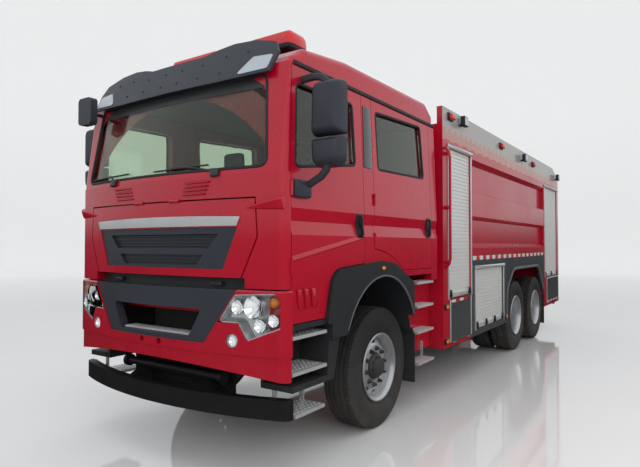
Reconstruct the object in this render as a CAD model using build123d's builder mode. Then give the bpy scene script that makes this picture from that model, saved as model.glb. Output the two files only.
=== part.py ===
"""Crew-cab fire tender on a three-axle road chassis, one STEP file per piece, in millimetres."""

import os

from build123d import *

os.makedirs("parts", exist_ok=True)

# Overall layout, lengths along Y with the front of the truck at -Y
FRONT_OVERHANG = 1730
WHEELBASE = 4600
BOGIE_SPREAD = 1350
REAR_OVERHANG = 2190
BODY_WIDTH = 2500
CAB_SET_IN = 10
CAB_WIDTH = BODY_WIDTH - 2 * CAB_SET_IN

# Heights above the ground
RAIL_BOTTOM = 780
RAIL_TOP = 1060
CAB_BOTTOM = 1150
CAB_FLOOR = 1540
BELT = 1985
SCREEN_BASE = 2240
SCREEN_HEIGHT = 820
ROOF_RISE = 240
SKIRT_BOTTOM = 520
SKIRT_TOP = 1580
TANK_HEIGHT = 1550
PARAPET_RISE = 200

# Wheels, axles and frame
TYRE_OD = 1130
TYRE_WIDTH = 310
RIM_OD = 640
KINGPIN_X = 870
FRONT_TRACK = 2024
DUAL_CENTRE = 915
DUAL_SPACING = 346
FRAME_WIDTH = 860
SPINDLE_R = 45
REAR_SPINDLE_R = 60
RUNNING_GAP = 0.3

# Walls and gaps
DOOR_THICKNESS = 90
WALL = 50
SHUT_GAP = 6
FLAP_GAP = 12
DOOR_SKIN = 30
ARCH_REBATE = 22
GLASS = 10
SLAT_PITCH = 45

# Hinges
HINGE_R = 13
HINGE_PIN = 7
HINGE_HALF = 30
HINGE_PLAY = 0.1

OVERALL_LENGTH = FRONT_OVERHANG + WHEELBASE + BOGIE_SPREAD + REAR_OVERHANG
AXLE_1 = -OVERALL_LENGTH / 2 + FRONT_OVERHANG
AXLE_2 = AXLE_1 + WHEELBASE
AXLE_3 = AXLE_2 + BOGIE_SPREAD
NOSE = AXLE_1 - FRONT_OVERHANG
CAB_REAR = AXLE_1 + 1215
BODY_FRONT = AXLE_1 + 1362
TANK_FRONT = BODY_FRONT + 976
TANK_REAR = AXLE_3 + 700
BODY_REAR = AXLE_3 + REAR_OVERHANG - 90
HUB_Z = TYRE_OD / 2
HALF_BODY = BODY_WIDTH / 2
HALF_CAB = CAB_WIDTH / 2
HALF_FRAME = FRAME_WIDTH / 2
HALF_BUMPER = HALF_CAB + 10
SIDE_CUT = HALF_CAB - 340
GUTTER = SCREEN_BASE + SCREEN_HEIGHT
ROOF_TOP = GUTTER + ROOF_RISE
TANK_STEP = SKIRT_TOP - 150
LOW_HEAD = TANK_STEP - 30
DECK = SKIRT_TOP + TANK_HEIGHT
PARAPET = DECK + PARAPET_RISE
DOOR_FRONT = AXLE_1 - 1480
PILLAR_FRONT = AXLE_1 - 430
PILLAR_REAR = AXLE_1 - 250
QUARTER = AXLE_1 + 1056
SCREEN_LEAN = 150
DOOR_LEAN = 60
FRONT_DOOR_HINGES = (1560, 2125)
REAR_DOOR_HINGES = (1770, 2125)
FRONT_DOOR_AXIS = DOOR_FRONT - SHUT_GAP / 2
REAR_DOOR_AXIS = PILLAR_REAR + SHUT_GAP / 2
CAB_BOW = 120
SCREEN_BOW = 75
BUMPER_BOW = 170


def across(y):
    """Plane across the truck, X to the left and Z up; an extrusion runs to the front."""
    return Plane.XZ.offset(-y)


def along(x):
    """Plane along the truck, Y to the rear and Z up; an extrusion runs to the left."""
    return Plane.YZ.offset(x)


def level(z):
    """Plane level with the ground; an extrusion runs up."""
    return Plane.XY.offset(z)


def bowed_outline(half_width, nose, bow, back, corner):
    """Plan of the cab or bumper: straight back, bowed front and rounded front corners."""
    with BuildLine() as outline:
        Polyline(
            (half_width, nose + bow), (half_width, back), (-half_width, back), (-half_width, nose + bow)
        )
        ThreePointArc((-half_width, nose + bow), (0, nose), (half_width, nose + bow))
    make_face(outline.edges())
    fillet(vertices().sort_by(Axis.Y)[:2], corner)


def box(x0, x1, y0, y1, z0, z1, mode=Mode.ADD):
    """Block between two corners."""
    with Locations(((x0 + x1) / 2, (y0 + y1) / 2, (z0 + z1) / 2)):
        Box(x1 - x0, y1 - y0, z1 - z0, mode=mode)


def rod(point, axis, radius, start, stop, mode=Mode.ADD):
    """Cylinder about a line through a point, between two places along that line."""
    centre = list(point)
    centre["XYZ".index(axis)] = (start + stop) / 2
    turn = {"X": (0, 90, 0), "Y": (90, 0, 0), "Z": (0, 0, 0)}[axis]
    with Locations(tuple(centre)):
        Cylinder(radius, stop - start, rotation=turn, mode=mode)


def hinge_lugs(point, axis, places):
    """Fixed half of a hinge: two lugs and a pin, with room between for the barrel."""
    for place in places:
        low = place - HINGE_HALF
        high = place + HINGE_HALF
        rod(point, axis, HINGE_R + 2, low - 1, high + 1, Mode.SUBTRACT)
        rod(point, axis, HINGE_R, low - 24, low - 0.5)
        rod(point, axis, HINGE_R, high + 0.5, high + 24)
        rod(point, axis, HINGE_PIN, low - 12, high + 12)


def hinge_barrels(point, axis, places):
    """Moving half of a hinge: the barrel on the pin, with room beside it for the lugs."""
    for place in places:
        low = place - HINGE_HALF
        high = place + HINGE_HALF
        rod(point, axis, HINGE_R + 2, low - 26, low, Mode.SUBTRACT)
        rod(point, axis, HINGE_R + 2, high, high + 26, Mode.SUBTRACT)
        rod(point, axis, HINGE_R, low, high)
        rod(point, axis, HINGE_PIN + HINGE_PLAY, low, high, Mode.SUBTRACT)


def mirrored(source, name):
    """Right-hand copy of a left-hand piece."""
    with BuildPart() as copy:
        mirror(source.part, about=Plane.YZ)
    copy.part.label = name
    export_step(copy.part, f"parts/{name}.step")
    return copy


def save(piece, name):
    piece.part.label = name
    export_step(piece.part, f"parts/{name}.step")


# Section of the cab's side: sill, waist groove and a slight lean above the belt
def side_section(outer_inset, thickness):
    """Wall of the cab's left side, seen from the back; outer_inset moves it inward."""
    outer = [
        (HALF_CAB - 8, CAB_BOTTOM),
        (HALF_CAB, BELT - 195),
        (HALF_CAB - 24, BELT - 95),
        (HALF_CAB - 4, BELT),
        (HALF_CAB - 45, GUTTER),
    ]
    near = [(x - outer_inset, z) for x, z in outer]
    far = [(x - outer_inset - thickness, z) for x, z in reversed(outer)]
    Polygon(*near, *far, align=None)


def arch_lip_outline(grow=0):
    """Outer edge of the front wheel arch, in Y and Z."""
    Polygon(
        (AXLE_1 - 1040 - grow, CAB_BOTTOM - 170),
        (AXLE_1 - 1040 - grow, CAB_BOTTOM),
        (AXLE_1 - 955 - grow, CAB_BOTTOM + 365 + grow),
        (AXLE_1 - 150, CAB_BOTTOM + 422 + grow),
        (AXLE_1 + 120 + grow, CAB_BOTTOM + 390 + grow),
        (AXLE_1 + 545 + grow, CAB_BOTTOM + 185 + grow),
        (AXLE_1 + 545 + grow, CAB_BOTTOM - 170),
        align=None,
    )
    fillet(vertices().sort_by(Axis.Y)[-3:], 180)


# Frame rails: channels open to the inside
with BuildPart() as frame_rails:
    with BuildSketch(across(BODY_REAR - 50)):
        Polygon(
            (HALF_FRAME - 85, RAIL_BOTTOM),
            (HALF_FRAME, RAIL_BOTTOM),
            (HALF_FRAME, RAIL_TOP),
            (HALF_FRAME - 85, RAIL_TOP),
            (HALF_FRAME - 85, RAIL_TOP - 10),
            (HALF_FRAME - 10, RAIL_TOP - 10),
            (HALF_FRAME - 10, RAIL_BOTTOM + 10),
            (HALF_FRAME - 85, RAIL_BOTTOM + 10),
            align=None,
        )
    extrude(amount=BODY_REAR - 50 - (AXLE_1 - 1250))
    mirror(about=Plane.YZ)
save(frame_rails, "frame_rails")

# Cross members: tubes between the webs, a rear beam with the tow eye, and the rear under-run beam
RAIL_MID = (RAIL_BOTTOM + RAIL_TOP) / 2
TOW_EYE_Y = BODY_REAR + 40
TUBE_PLACES = [AXLE_1 + 1300, TANK_FRONT + 300, AXLE_2 - 640, AXLE_2 + BOGIE_SPREAD / 2, AXLE_3 + 640]
with BuildPart() as cross_members:
    for place in TUBE_PLACES:
        with BuildSketch(Plane(origin=(-HALF_FRAME + 10, place, RAIL_MID), z_dir=(1, 0, 0))):
            Circle(60)
            Circle(48, mode=Mode.SUBTRACT)
        extrude(amount=FRAME_WIDTH - 20)
    box(-HALF_FRAME + 10, HALF_FRAME - 10, BODY_REAR - 150, BODY_REAR - 70, RAIL_BOTTOM + 20, RAIL_TOP - 20)
    box(-90, 90, BODY_REAR - 70, TOW_EYE_Y + 45, RAIL_MID - 20, RAIL_MID + 20)
    with BuildSketch(level(RAIL_MID - 20)):
        with Locations((0, TOW_EYE_Y)):
            Circle(25)
    extrude(amount=40, mode=Mode.SUBTRACT)
    box(-HALF_BODY + 100, HALF_BODY - 100, BODY_REAR + 10, BODY_REAR + 90, 430, 560)
    for side in (-1, 1):
        centre = side * (HALF_FRAME - 40)
        box(centre - 40, centre + 40, BODY_REAR - 180, BODY_REAR + 10, 470, 540)
        box(centre - 40, centre + 40, BODY_REAR - 180, BODY_REAR - 60, 470, RAIL_BOTTOM)
save(cross_members, "cross_members")

# Front axle: dropped beam with king-pin eyes, leaf springs and hangers
BEAM_TOP = HUB_Z - 20
with BuildPart() as front_axle:
    with BuildSketch(across(AXLE_1 + 48)):
        Polygon(
            (-KINGPIN_X, HUB_Z + 60),
            (-KINGPIN_X, HUB_Z - 60),
            (-KINGPIN_X + 240, HUB_Z - 125),
            (KINGPIN_X - 240, HUB_Z - 125),
            (KINGPIN_X, HUB_Z - 60),
            (KINGPIN_X, HUB_Z + 60),
            (KINGPIN_X - 170, BEAM_TOP),
            (-KINGPIN_X + 170, BEAM_TOP),
            align=None,
        )
    extrude(amount=96)
    for side in (-1, 1):
        with BuildSketch(level(HUB_Z - 90)):
            with Locations((side * KINGPIN_X, AXLE_1)):
                Circle(58)
        extrude(amount=180)
        with BuildSketch(level(HUB_Z - 90)):
            with Locations((side * KINGPIN_X, AXLE_1)):
                Circle(25 + RUNNING_GAP)
        extrude(amount=180, mode=Mode.SUBTRACT)
        for leaf, reach in enumerate((870, 640, 420)):
            lift = BEAM_TOP + 22 * (2 - leaf)
            rise = 150 * (reach / 870) ** 2
            with BuildSketch(along(side * (HALF_FRAME - 40) - 40)):
                with BuildLine():
                    ThreePointArc(
                        (AXLE_1 - reach, lift + rise), (AXLE_1, lift), (AXLE_1 + reach, lift + rise)
                    )
                    Line((AXLE_1 + reach, lift + rise), (AXLE_1 + reach, lift + rise + 22))
                    ThreePointArc(
                        (AXLE_1 + reach, lift + rise + 22), (AXLE_1, lift + 22), (AXLE_1 - reach, lift + rise + 22)
                    )
                    Line((AXLE_1 - reach, lift + rise + 22), (AXLE_1 - reach, lift + rise))
                make_face()
            extrude(amount=80)
        for end in (-1, 1):
            centre = AXLE_1 + end * 870
            inner = side * (HALF_FRAME - 40) - 40
            box(inner, inner + 80, centre - 45, centre + 45, BEAM_TOP + 190, RAIL_BOTTOM)
        inner = side * (HALF_FRAME - 40) - 40
        box(inner, inner + 80, AXLE_1 - 60, AXLE_1 + 60, BEAM_TOP - 10, BEAM_TOP + 85)
save(front_axle, "front_axle")

# Rear bogie: two drive axles on one pair of walking springs, with the drive shafts
DRUM_SIDE = DUAL_CENTRE - 260
with BuildPart() as rear_bogie:
    for axle in (AXLE_2, AXLE_3):
        with BuildSketch(Plane(origin=(0, axle, HUB_Z), x_dir=(1, 0, 0), z_dir=(0, -1, 0))):
            Polygon(
                (0, 0),
                (DUAL_CENTRE + 95, 0),
                (DUAL_CENTRE + 95, REAR_SPINDLE_R),
                (DRUM_SIDE, REAR_SPINDLE_R),
                (DRUM_SIDE, 95),
                (330, 95),
                (200, 215),
                (0, 240),
                align=None,
            )
            mirror(about=Plane.YZ)
        revolve(axis=Axis((0, axle, HUB_Z), (1, 0, 0)))
        with BuildSketch(across(axle - 190)):
            with Locations((0, HUB_Z + 40)):
                Circle(110)
        extrude(amount=150)
        for side in (-1, 1):
            centre = side * (HALF_FRAME + 85)
            box(centre - 50, centre + 50, axle - 90, axle + 90, HUB_Z, HUB_Z + 130)
    for side in (-1, 1):
        centre = side * (HALF_FRAME + 85)
        for leaf, reach in enumerate((BOGIE_SPREAD / 2 + 70, BOGIE_SPREAD / 2 - 140, BOGIE_SPREAD / 2 - 330)):
            mid = AXLE_2 + BOGIE_SPREAD / 2
            base = HUB_Z + 112 + 26 * leaf
            with BuildSketch(along(centre - 45)):
                Polygon(
                    (mid - reach, base),
                    (mid, base + 50),
                    (mid + reach, base),
                    (mid + reach, base + 28),
                    (mid, base + 78),
                    (mid - reach, base + 28),
                    align=None,
                )
            extrude(amount=90)
        mid = AXLE_2 + BOGIE_SPREAD / 2
        box(centre - 50, centre + 50, mid - 110, mid + 110, HUB_Z + 60, RAIL_BOTTOM + 190)
        inner, outer = sorted((side * HALF_FRAME, side * (HALF_FRAME + 40)))
        box(inner, outer, mid - 200, mid + 200, RAIL_BOTTOM + 20, RAIL_TOP - 40)
    with BuildSketch(Plane(origin=(-HALF_FRAME - 85, AXLE_2 + BOGIE_SPREAD / 2, HUB_Z + 100), z_dir=(1, 0, 0))):
        Circle(55)
    extrude(amount=FRAME_WIDTH + 170)
    shaft_front = Vector(0, AXLE_1 + 1155, RAIL_MID - 120)
    shaft_rear = Vector(0, AXLE_2 - 300, HUB_Z + 40)
    with BuildSketch(Plane(origin=shaft_front, z_dir=shaft_rear - shaft_front)):
        Circle(55)
    extrude(amount=(shaft_rear - shaft_front).length)
    with BuildSketch(across(AXLE_3 - 190)):
        with Locations((0, HUB_Z + 40)):
            Circle(50)
    extrude(amount=BOGIE_SPREAD - 250)
save(rear_bogie, "rear_bogie")

# Engine with its gearbox and cooling pack, plain blocks
with BuildPart() as engine_block:
    box(-335, 335, AXLE_1 - 1050, AXLE_1 + 250, 640, 1360)
    fillet(edges().filter_by(Axis.Y), 60)
    with BuildSketch(across(AXLE_1 + 1150)):
        with Locations((0, RAIL_MID - 120)):
            RegularPolygon(230, 8)
    extrude(amount=900)
    box(-330, 330, AXLE_1 - 1300, AXLE_1 - 1050, 700, 1250)
    box(-360, 360, AXLE_1 - 1390, AXLE_1 - 1300, 640, 1300)
    for place in (AXLE_1 - 930, AXLE_1 + 120):
        box(-HALF_FRAME + 10, HALF_FRAME - 10, place - 55, place + 55, RAIL_MID - 60, RAIL_MID + 20)
save(engine_block, "engine_block")

# Front bumper: bowed shell with the middle insert and the headlamps let in
BUMPER_TOP = 1390
BUMPER_BOTTOM = 740
CREASE = 920
CREASE_STEP = 10
INSERT_BOTTOM = 985
HEADLAMP = [
    (HALF_CAB - 545, 1150),
    (HALF_CAB - 400, 1356),
    (HALF_CAB - 75, 1372),
    (HALF_CAB - 36, 1325),
    (HALF_CAB - 36, 1125),
    (HALF_CAB - 295, 1022),
    (HALF_CAB - 374, 1150),
]
FOG_X = HALF_CAB - 415
INSERT_FOOT = HALF_CAB - 665
INSERT_HEAD = HALF_CAB - 378
INSERT_SECTION = [
    (-INSERT_FOOT, INSERT_BOTTOM),
    (INSERT_FOOT, INSERT_BOTTOM),
    (INSERT_HEAD, BUMPER_TOP),
    (-INSERT_HEAD, BUMPER_TOP),
]
with BuildPart() as front_bumper:
    with BuildSketch(level(BUMPER_BOTTOM)):
        bowed_outline(HALF_BUMPER - CREASE_STEP, NOSE + CREASE_STEP, BUMPER_BOW, AXLE_1 - 1480, 85)
    extrude(amount=CREASE - BUMPER_BOTTOM)
    with BuildSketch(level(CREASE)):
        bowed_outline(HALF_BUMPER, NOSE, BUMPER_BOW, AXLE_1 - 1480, 100)
    extrude(amount=BUMPER_TOP - CREASE)
    chamfer(edges().group_by(Axis.Z)[-1].sort_by(Axis.Y)[:3], 12)
    with BuildSketch(level(BUMPER_BOTTOM)):
        bowed_outline(HALF_BUMPER - 70, NOSE + 70, BUMPER_BOW, AXLE_1 - 1300, 60)
    extrude(amount=BUMPER_TOP - BUMPER_BOTTOM, mode=Mode.SUBTRACT)
    with BuildSketch(across(AXLE_1 - 1470)):
        with BuildLine():
            ThreePointArc((-HALF_BUMPER, BUMPER_BOTTOM), (0, BUMPER_BOTTOM + 88), (HALF_BUMPER, BUMPER_BOTTOM))
            Line((-HALF_BUMPER, BUMPER_BOTTOM), (HALF_BUMPER, BUMPER_BOTTOM))
        make_face()
    extrude(amount=400, mode=Mode.SUBTRACT)
    with BuildSketch(across(AXLE_1 - 1520)):
        Polygon(*INSERT_SECTION, align=None)
        Polygon(*HEADLAMP, align=None)
        Polygon(*[(-x, z) for x, z in HEADLAMP], align=None)
        with Locations((-FOG_X, 1020), (FOG_X, 1020)):
            Circle(52)
        with Locations((-105, 958), (105, 958)):
            Circle(24)
    extrude(amount=400, mode=Mode.SUBTRACT)
    for side in (-1, 1):
        inner, outer = sorted((side * (HALF_FRAME - 60), side * HALF_FRAME))
        box(inner, outer, NOSE + 60, AXLE_1 - 1250, RAIL_BOTTOM + 60, INSERT_BOTTOM - 15)
    with BuildSketch(level(BUMPER_BOTTOM)):
        bowed_outline(HALF_BUMPER, NOSE, BUMPER_BOW, AXLE_1 - 1250, 100)
    extrude(amount=BUMPER_TOP - BUMPER_BOTTOM, mode=Mode.INTERSECT)
save(front_bumper, "front_bumper")

with BuildPart() as bumper_insert:
    with BuildSketch(level(INSERT_BOTTOM)):
        bowed_outline(HALF_BUMPER, NOSE + 14, BUMPER_BOW, AXLE_1 - 1500, 40)
    extrude(amount=BUMPER_TOP - INSERT_BOTTOM)
    with BuildSketch(across(AXLE_1 - 1400)):
        Polygon(*INSERT_SECTION, align=None)
    extrude(amount=500, mode=Mode.INTERSECT)
    with BuildSketch(across(AXLE_1 - 1540)):
        Polygon(
            (-INSERT_FOOT + 160, 1022),
            (INSERT_FOOT - 160, 1022),
            (INSERT_FOOT - 39, 1235),
            (-INSERT_FOOT + 39, 1235),
            align=None,
        )
        fillet(vertices(), 20)
    extrude(amount=400, mode=Mode.SUBTRACT)
    with BuildSketch(level(INSERT_BOTTOM)):
        bowed_outline(HALF_BUMPER - 110, NOSE + 84, BUMPER_BOW, AXLE_1 - 1300, 60)
        Rectangle(2 * INSERT_FOOT - 30, 4000, mode=Mode.SUBTRACT)
    extrude(amount=BUMPER_TOP - INSERT_BOTTOM, mode=Mode.SUBTRACT)
save(bumper_insert, "bumper_insert")

with BuildPart() as front_lamps:
    with BuildSketch(level(1000)):
        bowed_outline(HALF_BUMPER - 8, NOSE + 8, BUMPER_BOW, AXLE_1 - 1400, 92)
    extrude(amount=400)
    with BuildSketch(level(1000)):
        bowed_outline(HALF_BUMPER - 90, NOSE + 90, BUMPER_BOW, AXLE_1 - 1300, 60)
    extrude(amount=400, mode=Mode.SUBTRACT)
    with BuildSketch(across(AXLE_1 - 1520)):
        Polygon(*HEADLAMP, align=None)
        Polygon(*[(-x, z) for x, z in HEADLAMP], align=None)
        with Locations((-FOG_X, 1020), (FOG_X, 1020)):
            Circle(52)
    extrude(amount=400, mode=Mode.INTERSECT)
save(front_lamps, "front_lamps")

# Under-run guard: bowed beam on two hangers from the rails
with BuildPart() as underrun_guard:
    with BuildSketch(level(465)):
        bowed_outline(HALF_CAB - 15, NOSE + 15, 215, AXLE_1 - 1440, 75)
    extrude(amount=145)
    with BuildSketch(level(465)):
        bowed_outline(HALF_CAB - 75, NOSE + 85, 205, AXLE_1 - 1300, 40)
    extrude(amount=145, mode=Mode.SUBTRACT)
    for side in (-1, 1):
        inner, outer = sorted((side * (HALF_FRAME - 60), side * HALF_FRAME))
        with BuildSketch(along(inner)):
            Polygon(
                (NOSE + 100, 490),
                (NOSE + 100, 585),
                (AXLE_1 - 1250, RAIL_BOTTOM),
                (AXLE_1 - 1100, RAIL_BOTTOM),
                (AXLE_1 - 1400, 490),
                align=None,
            )
        extrude(amount=outer - inner)
save(underrun_guard, "underrun_guard")

# Front mudguards: arch lip, liner over the wheel, rear guard with flap, and the cab step box
ARCH_Y = AXLE_1 - 100
ARCH_Z = 730
ARCH_R = 700
GUARD_Y = AXLE_1 + 655
STEP_BOX_IN = HALF_CAB - 310
STEP_IN = STEP_BOX_IN + 25
with BuildPart() as mudguards:
    with BuildSketch(along(HALF_CAB - 50)):
        arch_lip_outline()
        with Locations((ARCH_Y, ARCH_Z)):
            Circle(ARCH_R, mode=Mode.SUBTRACT)
        with Locations((AXLE_1, CAB_BOTTOM - 400)):
            Rectangle(1400, 500, mode=Mode.SUBTRACT)
    extrude(amount=75)
    with BuildSketch(along(HALF_FRAME + 150)):
        with Locations((ARCH_Y, ARCH_Z)):
            Circle(ARCH_R + 12)
            Circle(ARCH_R, mode=Mode.SUBTRACT)
        with Locations((AXLE_1, ARCH_Z - 340)):
            Rectangle(2000, 940, mode=Mode.SUBTRACT)
    extrude(amount=HALF_CAB - 50 - (HALF_FRAME + 150))
    with BuildSketch(along(HALF_FRAME + 150)):
        Polygon(
            (ARCH_Y + 686, ARCH_Z + 132),
            (ARCH_Y + 702, ARCH_Z + 138),
            (GUARD_Y + 14, ARCH_Z + 50),
            (GUARD_Y + 14, 290),
            (GUARD_Y, 290),
            (GUARD_Y, ARCH_Z + 46),
            align=None,
        )
    extrude(amount=HALF_CAB - 30 - (HALF_FRAME + 150))
    with BuildSketch(along(STEP_BOX_IN)):
        Polygon(
            (AXLE_1 - 1455, 655),
            (AXLE_1 - 920, 655),
            (AXLE_1 - 845, 915),
            (AXLE_1 - 765, 1090),
            (AXLE_1 - 1040, CAB_BOTTOM - 8),
            (AXLE_1 - 1455, CAB_BOTTOM - 8),
            align=None,
        )
    extrude(amount=300)
    with BuildSketch(along(STEP_IN)):
        Polygon(
            (AXLE_1 - 1500, 700),
            (AXLE_1 - 1010, 700),
            (AXLE_1 - 985, 1000),
            (AXLE_1 - 985, 1100),
            (AXLE_1 - 1500, 1100),
            align=None,
        )
    extrude(amount=400, mode=Mode.SUBTRACT)
    box(HALF_FRAME + 150, STEP_IN, AXLE_1 - 120, AXLE_1 - 40, ARCH_Z + ARCH_R + 5, CAB_FLOOR - 60)
    mirror(about=Plane.YZ)
    for side in (-1, 1):
        inner, outer = sorted((side * (HALF_FRAME + 190), side * (HALF_BODY - 10)))
        box(inner, outer, TANK_REAR - 12, TANK_REAR, 190, 760)
save(mudguards, "mudguards")

# Steps: aluminium treads at the front doors and the ladder at the rear doors
with BuildPart() as steps:
    for z in (770, 1030):
        box(STEP_IN, HALF_CAB - 12, AXLE_1 - 1455, AXLE_1 - 1012, z, z + 26)
    box(STEP_IN + 35, HALF_CAB, AXLE_1 - 1430, AXLE_1 - 1060, 470, 496)
    for y in (AXLE_1 - 1420, AXLE_1 - 1082):
        box(STEP_IN + 55, STEP_IN + 95, y, y + 12, 496, 655)
    for z in (780, 1050, 1300):
        box(HALF_BODY - 175, HALF_BODY - 25, AXLE_1 + 705, AXLE_1 + 1130, z, z + 26)
    box(HALF_BODY - 190, HALF_BODY - 20, AXLE_1 + 720, AXLE_1 + 1130, 450, 476)
    for y in (AXLE_1 + 730, AXLE_1 + 1106):
        box(HALF_BODY - 175, HALF_BODY - 150, y, y + 14, 476, 640)
    mirror(about=Plane.YZ)
save(steps, "steps")

# Cab floor: raised rear floor, footwells beside the engine tunnel, and the pillars between the doors
FLOOR_HALF = HALF_CAB - 100
FOOTWELL = CAB_BOTTOM + 30
with BuildPart() as cab_floor:
    box(-FLOOR_HALF, FLOOR_HALF, AXLE_1 - 900, CAB_REAR - 60, CAB_FLOOR - 60, CAB_FLOOR)
    with BuildSketch(across(AXLE_1 - 860)):
        Polygon(
            (-FLOOR_HALF, FOOTWELL),
            (-HALF_FRAME, FOOTWELL),
            (-HALF_FRAME, CAB_FLOOR - 40),
            (HALF_FRAME, CAB_FLOOR - 40),
            (HALF_FRAME, FOOTWELL),
            (FLOOR_HALF, FOOTWELL),
            (FLOOR_HALF, FOOTWELL + 40),
            (HALF_FRAME + 40, FOOTWELL + 40),
            (HALF_FRAME + 40, CAB_FLOOR),
            (-HALF_FRAME - 40, CAB_FLOOR),
            (-HALF_FRAME - 40, FOOTWELL + 40),
            (-FLOOR_HALF, FOOTWELL + 40),
            align=None,
        )
    extrude(amount=610)
    for side in (-1, 1):
        inner, outer = sorted((side * HALF_FRAME, side * FLOOR_HALF))
        box(inner, outer, AXLE_1 - 900, AXLE_1 - 860, FOOTWELL, CAB_FLOOR)
    with BuildSketch(across(QUARTER)):
        side_section(0, DOOR_THICKNESS)
    pillars = extrude(amount=QUARTER - PILLAR_FRONT, mode=Mode.PRIVATE)
    with BuildSketch(along(SIDE_CUT)):
        with BuildLine():
            Polyline(
                (AXLE_1 + 345, CAB_BOTTOM + 316),
                (QUARTER, CAB_BOTTOM + 310),
                (QUARTER, CAB_BOTTOM + 255),
                (PILLAR_FRONT, CAB_BOTTOM + 255),
                (PILLAR_FRONT, GUTTER),
                (PILLAR_REAR, GUTTER),
                (PILLAR_REAR, CAB_BOTTOM + 524),
            )
            ThreePointArc(
                (PILLAR_REAR, CAB_BOTTOM + 524),
                (AXLE_1 + 60, CAB_BOTTOM + 464),
                (AXLE_1 + 345, CAB_BOTTOM + 316),
            )
        make_face()
    pillar_outline = extrude(amount=500, mode=Mode.PRIVATE)
    with BuildSketch(along(SIDE_CUT)):
        arch_lip_outline()
    arch_cut = extrude(amount=500, mode=Mode.PRIVATE)
    left_pillar = (pillars & pillar_outline) - arch_cut
    add(left_pillar)
    box(FLOOR_HALF - 50, FLOOR_HALF + 20, PILLAR_FRONT, PILLAR_REAR, CAB_FLOOR - 60, CAB_FLOOR + 60)
    box(FLOOR_HALF - 50, FLOOR_HALF - 2, AXLE_1 + 350, QUARTER, CAB_BOTTOM + 255, CAB_FLOOR - 30)
    box(FLOOR_HALF - 50, FLOOR_HALF + 20, AXLE_1 + 350, QUARTER, CAB_BOTTOM + 255, CAB_BOTTOM + 305)
    hinge_lugs((HALF_CAB, REAR_DOOR_AXIS, 0), "Z", REAR_DOOR_HINGES)
    box(HALF_FRAME - 80, HALF_FRAME + 50, AXLE_1 - 1200, AXLE_1 - 1080, RAIL_TOP, 1200)
    box(HALF_FRAME - 80, HALF_FRAME, AXLE_1 + 950, AXLE_1 + 1050, RAIL_TOP, CAB_FLOOR - 50)
    mirror(about=Plane.YZ)
save(cab_floor, "cab_floor")

# Cab rear wall with the rear quarters
with BuildPart() as cab_rear_wall:
    with BuildSketch(across(CAB_REAR)):
        side_section(0, DOOR_THICKNESS)
    extrude(amount=CAB_REAR - QUARTER)
    box(SIDE_CUT, HALF_CAB + 60, QUARTER - 10, CAB_REAR, CAB_BOTTOM - 10, CAB_BOTTOM + 185, mode=Mode.SUBTRACT)
    mirror(about=Plane.YZ)
    box(-HALF_CAB + 95, HALF_CAB - 95, CAB_REAR - 60, CAB_REAR, CAB_BOTTOM + 185, GUTTER)
save(cab_rear_wall, "cab_rear_wall")

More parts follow.
